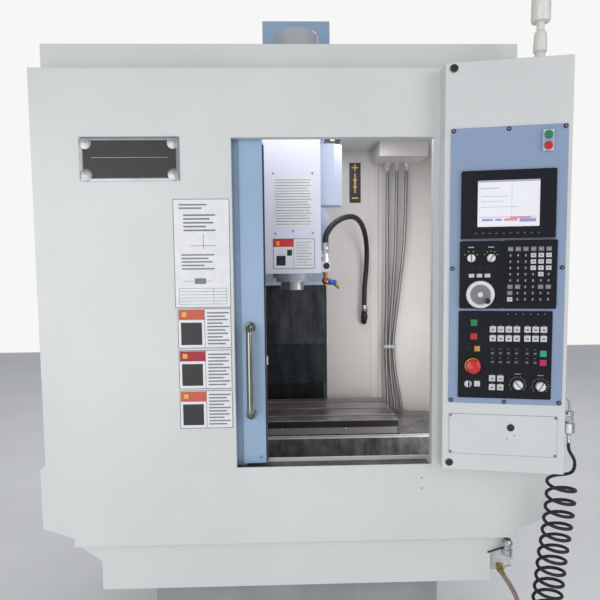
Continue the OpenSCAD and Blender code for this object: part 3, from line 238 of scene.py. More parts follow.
def guard(name, colour, rough=0.36):
    """Way cover plate: dull rolled steel, rubbed and wet with coolant, with runs down it."""
    finish = Finish(name, colour, rough, metal=0.55)
    runs = finish.noise(7, 8, (2.2, 2.2, 0.5), 0.7)
    cloud = finish.noise(26, 6)
    rubbed = tuple(min(1, c * 1.9 + 0.01) for c in colour)
    tone = finish.ramp(runs, 0.35, 0.66, darker(colour, 0.55), rubbed)
    film = finish.ramp(cloud, 0.40, 0.62, (0.62, 0.62, 0.62), (1, 1, 1))
    finish.tint(finish.multiply(0.7, tone, film))
    finish.roughen(cloud, rough - 0.12, rough + 0.2)
    finish.relief(finish.noise(130, 3, (6, 1, 1)), 0.0001, 0.35, 0.0012)
    return finish.skin


def steel(name, colour, rough=0.24, grain=(1, 60, 1)):
    """Bare turned or ground steel with the lines of its tool."""
    finish = Finish(name, colour, rough, metal=1.0)
    lines = finish.noise(40, 3, grain)
    finish.tint(finish.shades(finish.noise(12, 5), 0.3, 0.7, 0.78))
    finish.roughen(lines, rough - 0.08, rough + 0.14)
    finish.relief(lines, 0.00004, 0.4, 0.0008)
    return finish.skin


def plastic(name, colour, rough=0.45, grain=0.00008, coat=0.0, gloss=0.5):
    """Moulded plastic with a fine grain."""
    finish = Finish(name, colour, rough, coat=coat, Specular_IOR_Level=gloss)
    cloud = finish.noise(30)
    finish.tint(finish.shades(cloud, 0.3, 0.7, 0.86))
    finish.roughen(cloud, rough - 0.06, rough + 0.08)
    finish.relief(finish.noise(1500, 2), grain, 0.5, 0.0004)
    return finish.skin


def printed(name, colour, rough=0.42):
    """Printed film on a plate: even colour with faint rubbing."""
    finish = Finish(name, colour, rough)
    finish.tint(finish.shades(finish.noise(45, 5), 0.3, 0.7, 0.9))
    finish.roughen(finish.noise(30, 3), rough - 0.05, rough + 0.08)
    return finish.skin


def clear_pane(name, colour, rough):
    """Clear plastic or glass with a slight wave."""
    finish = Finish(name, colour, rough, Transmission_Weight=0.9, IOR=1.46)
    finish.relief(finish.noise(8, 2), 0.0002, 0.2)
    return finish.skin


def lit(name, colour, strength):
    """Screen or lamp glass that glows a little."""
    finish = Finish(name, colour, 0.2, coat=0.3, Emission_Color=(*colour, 1), Emission_Strength=strength)
    finish.tint(finish.shades(finish.noise(6, 2), 0.2, 0.8, 0.93))
    return finish.skin


def ribbed(name, colour, pitch):
    """Wound metal hose: close rings along the hose's height, darker in colour in the grooves between them as
    painted shade.
    """
    finish = Finish(name, colour, 0.3, metal=0.9)
    rings = finish.node("TexWave", Scale=0.314 / pitch, Vector=finish.node("TexCoord").outputs["Object"])
    rings.bands_direction = "Z"
    # Painted shade: the colour goes dark in the grooves between the rings
    finish.tint(finish.shades(rings.outputs["Fac"], 0.1, 0.8, 0.4))
    finish.roughen(finish.noise(60, 3), 0.22, 0.42)
    finish.relief(rings.outputs["Fac"], 0.0008, 0.8)
    return finish.skin


def table_iron(name):
    """Ground table top: dark iron with milled lines, dried coolant and bright rubbed edges."""
    finish = Finish(name, srgb(118, 110, 111), 0.3, metal=0.55)
    lines = finish.noise(30, 4, (0.6, 40, 1))
    film = finish.noise(9, 7, (1, 1, 1), 0.65)
    tone = finish.ramp(film, 0.34, 0.68, srgb(104, 95, 97), srgb(172, 160, 160))
    milled = finish.ramp(lines, 0.3, 0.6, (0.6, 0.6, 0.6), (1, 1, 1))
    finish.tint(finish.multiply(0.5, tone, milled))
    finish.roughen(film, 0.18, 0.48)
    finish.relief(lines, 0.0001, 0.4, 0.0012)
    return finish.skin


# Finishes of this machine

white_enamel = enamel("white_enamel", srgb(209, 212, 210), 0.07)
box_enamel = enamel("box_enamel", srgb(206, 209, 208), 0.06)
blue_enamel = enamel("blue_enamel", srgb(152, 178, 206), 0.12)
plate_blue = enamel("plate_blue", srgb(136, 154, 184), 0.08, 0.42)
head_white = enamel("head_white", srgb(218, 220, 236), 0.05)
head_blue = enamel("head_blue", srgb(186, 198, 219), 0.08)
wall_enamel = enamel("wall_enamel", srgb(214, 207, 204), 0.13)
silver_paint = enamel("silver_paint", srgb(176, 180, 186), 0.12, 0.36)
base_casting = casting("base_casting", srgb(150, 153, 154))
column_casting = casting("column_casting", srgb(190, 194, 196), 0.15)
ground_table = table_iron("ground_table")

dark_guard = guard("dark_guard", srgb(62, 64, 68))
# Darker copies of the same way cover finish for the Z cover's lower segments: painted shade
shaded_guard = guard("shaded_guard", srgb(38, 44, 46), 0.4)
deep_shaded_guard = guard("deep_shaded_guard", srgb(22, 25, 26), 0.4)
grey_guard = guard("grey_guard", srgb(112, 109, 110), 0.34)
track_steel = guard("track_steel", srgb(86, 86, 89), 0.36)

bright_steel = steel("bright_steel", srgb(200, 200, 202))
polished_tube = steel("polished_tube", srgb(138, 142, 136), 0.12, (1, 1, 0.2))
turned_iron = steel("turned_iron", srgb(165, 165, 168), 0.34)
copper = steel("copper", srgb(176, 116, 88), 0.30)
brass = steel("brass", srgb(172, 146, 92), 0.30)
strip_steel = printed("strip_steel", srgb(128, 125, 128), 0.32)
# Bright strip finish for the sill's lip and for painted highlights along the table's edges and the way
# cover's hem
rubbed_and_highlight_edge = printed("rubbed_and_highlight_edge", srgb(208, 207, 208), 0.30)
wound_hose = ribbed("wound_hose", srgb(176, 174, 172), 0.005)

black_panel = plastic("black_panel", srgb(14, 16, 25), 0.5, gloss=0.22)
black_cap = plastic("black_cap", srgb(22, 23, 26), 0.42, gloss=0.35)
grey_cap = plastic("grey_cap", srgb(120, 122, 126), 0.45)
dark_cap = plastic("dark_cap", srgb(30, 32, 38), 0.5, gloss=0.2)
white_cap = plastic("white_cap", srgb(204, 204, 206), 0.42)
wheel_white = plastic("wheel_white", srgb(222, 222, 220), 0.34, coat=0.2)
red_cap = plastic("red_cap", srgb(196, 24, 30), 0.30, coat=0.3)
green_cap = plastic("green_cap", srgb(22, 128, 74), 0.30, coat=0.3)
teal_cap = plastic("teal_cap", srgb(40, 160, 140), 0.36)
pink_cap = plastic("pink_cap", srgb(196, 30, 90), 0.36)
amber_cap = plastic("amber_cap", srgb(190, 150, 70), 0.36)
yellow_ring = plastic("yellow_ring", srgb(232, 178, 40), 0.36)
rubber_black = plastic("rubber_black", srgb(26, 26, 28), 0.55, 0.0002)
drain_vinyl = plastic("drain_vinyl", srgb(152, 124, 118), 0.30, coat=0.2)
lamp_ivory = plastic("lamp_ivory", srgb(222, 220, 212), 0.35, coat=0.2)
valve_blue = plastic("valve_blue", srgb(36, 92, 168), 0.34, coat=0.2)
lens_red = plastic("lens_red", srgb(200, 40, 36), 0.22, coat=0.4)
lens_amber = plastic("lens_amber", srgb(226, 150, 40), 0.22, coat=0.4)
lens_green = plastic("lens_green", srgb(40, 150, 84), 0.22, coat=0.4)

ink_white = printed("ink_white", srgb(168, 170, 174))
ink_grey = printed("ink_grey", srgb(120, 122, 126))
# Black ink for print, and for painted shade on the table's front and beside its T slots
ink_and_shade_black = printed("ink_and_shade_black", srgb(28, 28, 30))
ink_yellow = printed("ink_yellow", srgb(222, 178, 74))
ink_orange = printed("ink_orange", srgb(200, 84, 62))
ink_red = printed("ink_red", srgb(160, 26, 40))
ink_signal = printed("ink_signal", srgb(214, 44, 48))
label_film = printed("label_film", srgb(226, 227, 230), 0.34)

pane = clear_pane("pane", (0.86, 0.92, 0.94), 0.05)
bowl = clear_pane("bowl", (0.80, 0.82, 0.80), 0.18)
screen_white = lit("screen_white", srgb(226, 226, 232), 0.16)
screen_blue = lit("screen_blue", srgb(140, 150, 196), 0.12)
screen_rose = lit("screen_rose", srgb(214, 140, 156), 0.12)
screen_grey = lit("screen_grey", srgb(170, 170, 184), 0.12)


# Modelling

def clear():
    bpy.ops.object.select_all(action="DESELECT")


def pick(piece):
    """Select this piece alone."""
    clear()
    piece.select_set(True)
    bpy.context.view_layer.objects.active = piece


def mode(kind):
    bpy.ops.object.mode_set(mode=kind)


def select(kind):
    bpy.ops.mesh.select_all(action=kind)


def settle():
    """Move the picked piece's place, turn and size into its mesh."""
    bpy.ops.object.transform_apply(location=True, rotation=True, scale=True)


def face_outwards():
    """Point all faces of the mesh under edit outwards, and leave it."""
    select("SELECT")
    bpy.ops.mesh.normals_make_consistent(inside=False)
    mode("OBJECT")


def paint(piece, skin):
    piece.data.materials.clear()
    piece.data.materials.append(skin)
    return piece


def block(name, x, y, z, skin, edge=0.0, steps=2):
    """Block between two corners, with its edges broken."""
    clear()
    size = [b - a for a, b in (x, y, z)]
    middle = [(a + b) / 2 for a, b in (x, y, z)]
    bpy.ops.mesh.primitive_cube_add(size=1, location=middle, scale=size)
    piece = bpy.context.object
    piece.name = name
    settle()
    if edge:
        mode("EDIT")
        select("SELECT")
        bpy.ops.mesh.bevel(offset=edge, segments=steps, affect="EDGES")
        mode("OBJECT")
    return paint(piece, skin)


def turned(name, profile, skin, at=(0, 0, 0), sides=48, angle=30):
    """Turned part standing on its axis: profile lists (radius, height) from the foot up."""
    clear()
    foot = (at[0], at[1], at[2] + profile[0][1])
    bpy.ops.mesh.primitive_circle_add(vertices=sides, radius=profile[0][0], fill_type="NGON", location=foot)
    piece = bpy.context.object
    piece.name = name
    settle()
    mode("EDIT")
    select("SELECT")
    for (r0, h0), (r1, h1) in zip(profile, profile[1:]):
        bpy.ops.mesh.extrude_region_move(TRANSFORM_OT_translate={"value": (0, 0, h1 - h0)})
        bpy.ops.transform.resize(value=(r1 / r0, r1 / r0, 1))
    face_outwards()
    bpy.ops.object.shade_smooth_by_angle(angle=radians(angle))
    return paint(piece, skin)


def seat(piece, place):
    """Set a piece modelled flat into its place, with that place kept in its mesh."""
    pick(piece)
    piece.matrix_world = place @ piece.matrix_world
    settle()
    return piece


def copy_of(piece, move):
    pick(piece)
    bpy.ops.object.duplicate(linked=False)
    twin = bpy.context.object
    twin.matrix_world = shift(*move) @ twin.matrix_world
    settle()
    return twin


def join(name, pieces):
    clear()
    for piece in pieces:
        piece.select_set(True)
    bpy.context.view_layer.objects.active = pieces[0]
    if len(pieces) > 1:
        bpy.ops.object.join()
    whole = bpy.context.object
    whole.name = name
    return whole


def cut_out(piece, tool):
    """Take the tool's shape out of a piece, and the tool away."""
    cut = piece.modifiers.new("opening", "BOOLEAN")
    cut.object = tool
    pick(piece)
    bpy.ops.object.modifier_apply(modifier=cut.name)
    pick(tool)
    bpy.ops.object.delete()


def tube(name, points, radius, skin, sides=12, keep=False):
    """Hose or bar along points; kept as one spline where it is a free cord."""
    line = bpy.data.curves.new(name, "CURVE")
    line.dimensions = "3D"
    line.bevel_depth = radius
    line.bevel_resolution = max(1, sides // 4)
    line.use_fill_caps = True
    run = line.splines.new("POLY")
    run.points.add(len(points) - 1)
    for dot, place in zip(run.points, points):
        dot.co = (*place, 1)
    piece = into_scene(name, line)
    line.materials.append(skin)
    run.use_smooth = True
    if not keep:
        pick(piece)
        bpy.ops.object.convert(target="MESH")
        piece = bpy.context.object
    return piece


def between(points, i, t):
    """Place at share t of the way from point i to the next, on a smooth curve through all points."""
    last = len(points) - 1
    a, b, c, d = (points[max(0, min(last, k))] for k in (i - 1, i, i + 1, i + 2))
    return 0.5 * (2 * b + (c - a) * t + (2 * a - 5 * b + 4 * c - d) * t * t
                  + (3 * b - a - 3 * c + d) * t ** 3)


def smooth_line(points, step):
    """Points of a curve through all the given points, step pieces between neighbours."""
    points = [Vector(p) for p in points]
    line = [between(points, i, k / step) for i in range(len(points) - 1) for k in range(step)]
    return line + [points[-1]]


def metres(rows):
    """Places given in millimetres, in metres."""
    return [Vector([v * MM for v in row]) for row in rows]


# Hoses

def bend_between(a, leave, b, arrive, count):
    """Points of a curve that leaves a in one direction and meets b in another."""
    shares = [k / count for k in range(count)]
    return [(2 * t ** 3 - 3 * t * t + 1) * a + (t ** 3 - 2 * t * t + t) * leave
            + (3 * t * t - 2 * t ** 3) * b + (t ** 3 - t * t) * arrive for t in shares]


def at_height(points, z):
    """Place at height z on the smooth curve through points that go down."""
    i = min(len(points) - 2, max(0, sum(1 for p in points if p.z > z) - 1))
    share = (points[i].z - z) / (points[i].z - points[i + 1].z)
    spot = between(points, i, max(0.0, min(1.0, share)))
    return Vector((spot.x, spot.y, z))


def windings(z, z_out, radius, per_turn=18, parts=10):
    """Angles and heights of a hose that turns from straight down into a coil, and out of it below z_out."""
    straight_down = pi / 2
    around = 2 * pi * radius
    step = around / per_turn / parts
    angle, slope, leaving, count = 0.0, straight_down, False, 0
    line = [(angle, z)]
    while not (leaving and slope >= straight_down):
        # The turns hang 40 mm apart at the top and 31 mm apart at the foot
        rise = 0.031 + 0.009 * max(0.0, min(1.0, (z - 0.36) / 0.47))
        bend = step / radius * max(0.25, sqrt(max(0.0, 1 - cos(slope) ** 4)))
        leaving = leaving or z < z_out
        slope = min(straight_down, slope + bend) if leaving else max(atan(rise / around), slope - bend)
        angle += cos(slope) * step / radius
        z -= sin(slope) * step
        count += 1
        if count % parts == 0:
            line.append((angle, z))
    return line + [(angle, z - 0.0005)]


def air_hose():
    """Coiled hose of the air gun: it runs onto the coil, down its thirteen turns and off to the gun."""
    radius, top, gun_top = 0.040, 0.942, 0.146
    turns = windings(0.886, 0.385, radius)
    last, foot = turns[-1]
    lead = [Vector((*AIR_VALVE, z)) for z in (0.9497, 0.9458)]
    axis = metres([(788, -984, 886), (788, -984, 812), (784, -981, 730), (771, -973, 590)])
    axis.append(Vector((BLOW_GUN[0] - radius * cos(last), BLOW_GUN[1] - radius * sin(last), foot)))
    coil = [at_height(axis, z) + radius * Vector((cos(angle), sin(angle), 0)) for angle, z in turns]
    down = Vector((0, 0, -0.07))
    onto = bend_between(Vector((*AIR_VALVE, top)), down, coil[0], down, 9)
    tail = [Vector((*BLOW_GUN, foot + (gun_top - foot) * share)) for share in (0.07, 0.38, 0.69, 1.0)]
    route = lead + onto + coil + tail
    hose = tube("air_line", route, 0.005, rubber_black, 8, keep=True)
    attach(hose, "frame")
    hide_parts("air_hose")
    return hose, route


def drain_hose():
    """Vinyl hose from the drain valve down to the floor."""
    route = smooth_line(metres([
        (660, -872, 489), (670, -872, 472), (690, -873, 440), (708, -874, 400), (722, -874, 340),
        (736, -872, 260), (754, -866, 160), (776, -856, 70), (794, -838, 24), (806, -812, 8),
        (810, -775, 8), (803, -735, 8)]), 3)
    hose = tube("drain_tube", route, 0.0075, drain_vinyl, 12, keep=True)
    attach(hose, "frame")
    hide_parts("drain_hose")


def air_gun():
    """Blow gun at the hose's end: moulded grip, trigger and a thin pipe."""
    x, y = BLOW_GUN
    parts = [
        block("grip", span(x, 0.024), (y - 0.015, y + 0.016), (0.135, 0.238), valve_blue, 0.006, 3),
        block("head", span(x, 0.0236), (y - 0.015, y + 0.057), (0.113, 0.141), valve_blue, 0.006, 3),
        block("lever", span(x, 0.014), (y - 0.029, y - 0.021), (0.152, 0.208), black_cap, 0.003, 3),
        block("pivot", span(x, 0.010), (y - 0.023, y - 0.012), (0.197, 0.205), black_cap, 0.001),
        turned("stub", [(0.006, 0), (0.0074, 0.002), (0.0074, 0.02), (0.0058, 0.024)], bright_steel,
               (x, y, 0.238), 20),
        tube("pipe", [(x, y + reach, 0.127) for reach in (0.058, 0.098, 0.128)], 0.004, bright_steel)]
    gun = join("blow_gun", parts)
    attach(gun, "frame")
    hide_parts("air_gun")
    return gun


def coolant_hose():
    """Hose from the head over to the wall."""
    line = smooth_line(metres([
        (127, -420, 1572), (127, -420, 1578), (127, -420, 1586), (133, -418, 1608), (154, -405, 1638),
        (188, -360, 1664), (226, -290, 1680), (268, -200, 1684), (306, -110, 1664), (334, -30, 1616),
        (349, 30, 1550), (351, 62, 1470), (345, 70, 1390), (343, 70, 1318), (343, 70, 1308),
        (343, 70, 1300)]), 5)
    hose = tube("coolant_feed", line, 0.011, rubber_black, 24)
    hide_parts("coolant_hose")
    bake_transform(hose)


air_line, air_route = air_hose()
gun = air_gun()
drain_hose()
coolant_hose()


# Finishes of the solids

def dress(skin, *names):
    """Give the named solids a finish."""
    for name in names:
        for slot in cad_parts[name].material_slots:
            slot.material = skin


dress(white_enamel, "front_panel", "side_panels", "roof_cover", "drip_skirt", "electrical_cabinet",
      "cabinet_door")
dress(box_enamel, "control_box")
dress(blue_enamel, "door_panel", "column_top_cover")
dress(plate_blue, "control_plate")
dress(head_white, "head_cover")
dress(head_blue, "head_side_box", "head_casting")
dress(wall_enamel, "rear_wall", "lamp_box")
dress(base_casting, "machine_base", "saddle")
dress(column_casting, "column")
# The Z cover's lower segments take darker copies of the same finish as painted shade
dress(dark_guard, "z_cover_upper")
dress(shaded_guard, "z_cover_mid")
dress(deep_shaded_guard, "z_cover_lower")
dress(grey_guard, "saddle_covers", "table_covers", "x_cover_mid", "y_cover_mid", "chip_pan",
      "coolant_tank", "magazine_carriage")
dress(ground_table, "table")
dress(bright_steel, "leveling_feet", "x_screw", "y_screw", "z_screw")
dress(polished_tube, "door_handle")
dress(turned_iron, "spindle", "magazine_disc", "hose_fittings")
dress(silver_paint, "spindle_motor", "spindle_housing")
dress(black_panel, "display_unit", "keyboard", "handwheel_unit", "operator_panel")
dress(black_cap, "y_motor")
dress(wheel_white, "handwheel")
dress(grey_cap, "feed_knob", "spindle_knob", "axis_knob", "step_knob")
dress(red_cap, "e_stop", "stop_button")
dress(green_cap, "start_button")
dress(pane, "door_window")


# Printed plates

def field(u, v, w, skin):
    """Thin printed field a hair above its plate."""
    return block("field", u, v, (w, w + FILM), skin)


def label(name, u, v, fields, place, body, film=label_film, rim=ink_and_shade_black):
    """Thin plate with a dark rim and plain colour fields, given as (u, v, finish)."""
    thick, edge = 0.0006, 0.0015
    parts = [block(name, u, v, (0, thick), film, 0.0002, 1)]
    if rim:
        inside = (v[0] + edge, v[1] - edge)
        parts += [field(u, (v[0], v[0] + edge), thick, rim),
                  field(u, (v[1] - edge, v[1]), thick, rim),
                  field((u[0], u[0] + edge), inside, thick, rim),
                  field((u[1] - edge, u[1]), inside, thick, rim)]
    # Neighbours in the list lie at two heights, so that fields that cross don't share a plane
    for i, (across, up, skin) in enumerate(fields):
        parts.append(field(across, up, thick + (i % 2) * 0.00008, skin))
    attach(seat(join(name, parts), place), body)


def bars(u, v, count, fill=0.5, lengths=(1.0, 0.82, 0.94, 0.7)):
    """Plain grey bars, one under another."""
    step = (v[1] - v[0]) / count
    rows = []
    for i in range(count):
        end = u[0] + (u[1] - u[0]) * lengths[i % len(lengths)]
        low, high = (v[1] - (i + 0.5 + side * fill / 2) * step for side in (1, -1))
        rows.append(((u[0], end), (low, high), ink_grey))
    return rows


def data_plate():
    """Plate with three plain blocks of bars, a cross of axes and a small table."""
    u0, u1, v0, v1 = -0.361, -0.194, 1.362, 1.685
    x, z = u0 + 0.088, v1 - 0.138
    fields = [
        *bars((u0 + 0.018, u0 + 0.10), (v1 - 0.032, v1 - 0.012), 2, 0.45),
        *bars((u0 + 0.030, u0 + 0.125), (v1 - 0.098, v1 - 0.042), 5, 0.45),
        (span(x, 0.076), span(z, 0.0012), ink_and_shade_black),
        (span(x, 0.0012), (z - 0.010, z + 0.034), ink_and_shade_black),
        *bars((u0 + 0.022, u0 + 0.120), (v1 - 0.212, v1 - 0.160), 5, 0.4),
        ((u0 + 0.030, u0 + 0.110), (v1 - 0.244, v1 - 0.243), ink_and_shade_black),
        ((u0 + 0.060, u0 + 0.094), (v1 - 0.252, v1 - 0.235), ink_grey)]
    for k in range(6):
        z = v0 + 0.010 + k * 0.0095
        fields.append(((u0 + 0.012, u1 - 0.012), (z, z + 0.0008), ink_and_shade_black))
    for x in (u0 + 0.012, u1 - 0.052, u1 - 0.0128):
        fields.append(((x, x + 0.0008), (v0 + 0.010, v0 + 0.0582), ink_and_shade_black))
    label("data_plate", (u0, u1), (v0, v1), fields, upright(PANEL_Y), "frame")


def notice_plates():
    """Three notice plates: a colour field, a dark field and bars."""
    left, right, split = -0.355, -0.195, -0.275
    heights = ((1.239, 1.359, ink_orange), (1.114, 1.233, ink_red), (0.992, 1.109, ink_orange))
    for number, (low, high, skin) in enumerate(heights, 1):
        head = high - 0.034
        fields = [
            ((left + 0.003, split), (head, high - 0.003), skin),
            ((split, split + 0.0012), (low + 0.0015, high - 0.0015), ink_and_shade_black),
            ((left + 0.009, split - 0.008), (low + 0.010, head - 0.008), ink_and_shade_black),
            ((left + 0.012, left + 0.026), (head + 0.009, high - 0.011), ink_yellow),
            *bars((split + 0.008, right - 0.006), (low + 0.008, high - 0.008), 10, 0.42)]
        label("notice_plate_%d" % number, (left, right), (low, high), fields, upright(PANEL_Y), "frame")


def nameplate():
    """Blank plate: black field sunk in a raised silver frame, with a pin at each corner."""
    u0, u1, v0, v1 = -0.629, -0.337, 1.738, 1.866
    plate = block("nameplate", (u0, u1), (v0, v1), (0, 0.002), turned_iron)
    pick(plate)
    mode("EDIT")
    bpy.ops.mesh.select_mode(type="FACE")
    select("DESELECT")
    mode("OBJECT")
    for face in plate.data.polygons:
        face.select = face.normal.z > 0.9
    mode("EDIT")
    for inset, rise in ((0.007, 0.0012), (0.003, -0.0014)):
        bpy.ops.mesh.inset(thickness=inset)
        bpy.ops.transform.translate(value=(0, 0, rise))
    mode("OBJECT")
    plate.data.materials.append(ink_and_shade_black)
    for face in plate.data.polygons:
        if face.select:
            face.material_index = 1
    parts = [plate]
    for x in (u0 + 0.018, u1 - 0.018):
        for z in (v0 + 0.018, v1 - 0.018):
            parts.append(turned("corner", [(0.018, 0), (0.018, 0.0008), (0.0168, 0.0014)], turned_iron,
                                (x, z, 0.0018), 28))
            parts.append(turned("pin", [(0.0034, 0), (0.0030, 0.0012), (0.0014, 0.0018)], bright_steel,
                                (x, z, 0.0030), 16))
    parts.append(block("line", (u0 + 0.034, u1 - 0.034), (1.8055, 1.8067), (0.0019, 0.0023), turned_iron))
    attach(seat(join("nameplate", parts), upright(PANEL_Y)), "frame")


def head_labels():
    """Sheet of bars and notice plate on the head's cover, and the cover's screws."""
    u0, u1, v0, v1 = -0.068, 0.076, 1.628, 1.811
    fields = bars((u0 + 0.006, u1 - 0.006), (v0 + 0.006, v1 - 0.006), 17, 0.22, (1, 0.96, 1, 0.9, 0.97))
    label("head_notice", (u0, u1), (v0, v1), fields, upright(HEAD_Y), "head", rim=None)
    u0, u1, v0, v1 = -0.072, 0.083, 1.475, 1.586
    split = u0 + 0.076
    fields = [
        ((u0 + 0.0015, split), (v1 - 0.030, v1 - 0.0015), ink_signal),
        ((u0 + 0.012, u0 + 0.024), (v1 - 0.024, v1 - 0.010), ink_yellow),
        ((u0 + 0.012, split - 0.030), (v0 + 0.012, v0 + 0.048), ink_and_shade_black),
        ((split - 0.024, split - 0.006), (v0 + 0.048, v0 + 0.070), ink_and_shade_black),
        ((split, split + 0.001), (v0, v1), ink_and_shade_black),
        *bars((split + 0.010, u1 - 0.010), (v0 + 0.008, v1 - 0.008), 9, 0.16)]
    label("head_sign", (u0, u1), (v0, v1), fields, upright(HEAD_Y), "head")
    places = ((-0.068, 1.824), (0.076, 1.824), (-0.062, 1.606), (0.076, 1.606), (0.004, 1.614))
    profile = [(0.0040, 0), (0.0040, 0.0012), (0.0030, 0.0022)]
    screws = [turned("screw", profile, turned_iron, (x, z, 0), 16) for x, z in places]
    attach(seat(join("head_screws", screws), upright(HEAD_Y)), "head")


def arrow_head(x, z, up):
    """Flat three-cornered tip that points up for 1 and down for -1."""
    clear()
    bpy.ops.mesh.primitive_circle_add(vertices=3, radius=0.013, fill_type="NGON", location=(x, z, 0.0009))
    tip = bpy.context.object
    tip.scale = (1, 0.7 * up, 1)
    settle()
    mode("EDIT")
    select("SELECT")
    bpy.ops.mesh.extrude_region_move(TRANSFORM_OT_translate={"value": (0, 0, FILM)})
    face_outwards()
    return paint(tip, ink_yellow)


def axis_plate():
    """Axis plate on the back wall: plus, bar, arrow, bar and minus on black."""
    u0, u1, low, high = 0.278, 0.331, 1.848, 1.884
    x = (u0 + u1) / 2
    fields = [
        (span(x, 0.032), (1.936, 1.942), ink_yellow),
        (span(x, 0.006), (1.923, 1.955), ink_yellow),
        (span(x, 0.006), (1.892, 1.914), ink_yellow),
        (span(x, 0.006), (1.822, 1.840), ink_yellow),
        (span(x, 0.030), (1.796, 1.802), ink_yellow)]
    label("axis_plate", (u0, u1), (1.777, 1.961), fields, upright(WALL_Y), "frame", ink_and_shade_black, None)
    shaft = block("shaft", span(x, 0.008), (low, high), (0.0007, 0.00095), ink_yellow)
    arrow = join("axis_arrow", [shaft, arrow_head(x, high, 1), arrow_head(x, low, -1)])
    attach(seat(arrow, upright(WALL_Y)), "frame")


data_plate()
notice_plates()
nameplate()
head_labels()
axis_plate()


# Control box

def repeated(name, places, size, w, rise, skin, edge=0.0):
    """One block, modelled at the first place and copied to the others."""
    u, v = places[0]
    first = block(name, span(u, size[0]), span(v, size[1]), (w, w + rise), skin, edge)
    return join(name, [first] + [copy_of(first, (a - u, b - v, 0)) for a, b in places[1:]])


def keys(name, places, size, w, skin, rise=0.0021):
    """Key caps with broken edges over the panel's keys."""
    return repeated(name, places, size, w, rise, skin, 0.0007)


def legends(name, places, size, w, skin):
    """Plain printed dashes."""
    return repeated(name, places, size, w, INK, skin)


def tick(inner, outer, width, w, middle, degrees):
    """Printed stroke that points away from the middle of a wheel or knob."""
    stroke = block("tick", (inner, outer), span(0, width), (w, w + INK), ink_white)
    stroke.matrix_world = shift(*middle, 0) @ turn(degrees)
    return stroke


def on_panel(*pieces):
    """Set pieces on the control box's turned face."""
    for piece in pieces:
        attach(seat(piece, FACE), "frame")


def key_unit():
    """Keyboard: six by nine keys in pale, grey and dark, with their marks."""
    top = UNIT + 0.0021
    size = (0.0144, 0.0124)
    pale, grey, dark = [], [], []
    for i in range(6):
        for k in range(9):
            place = ((183 + i * 20.6) * MM, (509 + k * 17.8) * MM)
            if (i >= 3 and k in (5, 6, 7)) or (i == 4 and k == 4) or (i == 0 and k == 0):
                pale.append(place)
            elif k == 8 or (i < 2 and k == 2) or (i == 0 and k == 1) or (i > 3 and k == 2):
                grey.append(place)
            else:
                dark.append(place)
    on_panel(
        keys("pale_keys", pale, size, UNIT, white_cap),
        keys("grey_keys", grey, size, UNIT, grey_cap),
        keys("dark_keys", dark, size, UNIT, dark_cap),
        legends("key_marks", dark, (0.003, 0.006), top, ink_white),
        legends("pale_marks", pale, (0.006, 0.003), top, ink_grey),
        legends("row_marks", grey, (0.009, 0.0016), top, ink_white))


def wheel_unit():
    """Jog keys, the small knobs' marks and the graduations round the handwheel."""
    across = (0.077, 0.099, 0.121)
    size = (0.0156, 0.0106)
    on_panel(
        keys("jog_keys", [(u, 0.577) for u in across], size, UNIT, white_cap),
        keys("jog_keys_dim", [(u, 0.599) for u in across], size, UNIT, dark_cap))
    marks = []
    for (u, v), count in ((AXIS_KNOB, 4), (STEP_KNOB, 5)):
        for k in range(count):
            angle = radians(30 + 120 * k / (count - 1))
            marks.append((u + 0.020 * cos(angle), v + 0.020 * sin(angle)))
    titles = [(u, v + 0.031) for u, v in (AXIS_KNOB, STEP_KNOB)]
    on_panel(
        legends("knob_marks", marks, (0.0034, 0.0022), UNIT, ink_white),
        legends("knob_titles", titles, (0.016, 0.003), UNIT, ink_white))
    inner, count = 0.0398, 50
    ticks = []
    for k in range(count):
        long = 0.0030 if k % 5 == 0 else 0.0018
        ticks.append(tick(inner, inner + long, 0.0004, UNIT + 0.003, WHEEL, k * 360 / count))
    on_panel(join("wheel_ticks", ticks))


def wheel_face():
    """Handwheel's grey centre and black crank, over the solid wheel."""
    w = 0.0143
    centre = turned("wheel_centre", [(0.0276, 0.0108), (0.0276, 0.0114), (0.0262, 0.0118), (0.0080, 0.0120)],
                    grey_cap, (*WHEEL, w), 48)
    grip = turned("wheel_grip", [(0.0076, 0), (0.0080, 0.002), (0.0068, 0.010), (0.0078, 0.0165),
                                 (0.0050, 0.0178)], black_cap, (0.119, 0.505, w + 0.011), 28)
    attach(seat(join("wheel_face", [centre, grip]), FACE), "handwheel")


def display():
    """Screen with plain lit fields, the soft keys under it and the seam of the unit."""
    glass = 0.00902
    top = glass + 0.0006
    parts = [block("screen", (0.0915, 0.2595), (0.7155, 0.8455), (glass, top), screen_white)]
    for u, v, skin in (
            ((0.092, 0.259), (0.8405, 0.8450), screen_grey), ((0.096, 0.150), (0.822, 0.824), screen_grey),
            ((0.100, 0.175), (0.800, 0.8015), screen_grey), ((0.100, 0.160), (0.786, 0.7875), screen_grey),
            ((0.100, 0.200), (0.770, 0.7712), screen_grey), ((0.098, 0.252), (0.742, 0.7435), screen_rose),
            ((0.180, 0.236), (0.738, 0.7425), screen_rose), ((0.104, 0.134), (0.7315, 0.738), screen_blue),
            ((0.140, 0.158), (0.7315, 0.738), screen_blue), ((0.164, 0.200), (0.7315, 0.738), screen_rose),
            ((0.206, 0.250), (0.728, 0.7375), screen_blue), ((0.184, 0.1848), (0.745, 0.838), screen_grey)):
        parts.append(block("mark", u, v, (top, top + 0.0001), skin))
    on_panel(join("screen", parts))
    rise = 0.0018
    soft = [((88 + 18.8 * i) * MM, 0.697) for i in range(10)]
    on_panel(
        keys("soft_keys", soft, (0.0124, 0.0104), UNIT, dark_cap, rise),
        legends("soft_marks", soft, (0.006, 0.0012), UNIT + rise, ink_grey),
        block("unit_seam", (0.046, 0.303), (0.6805, 0.6817), (0.0104, 0.0112), ink_grey))


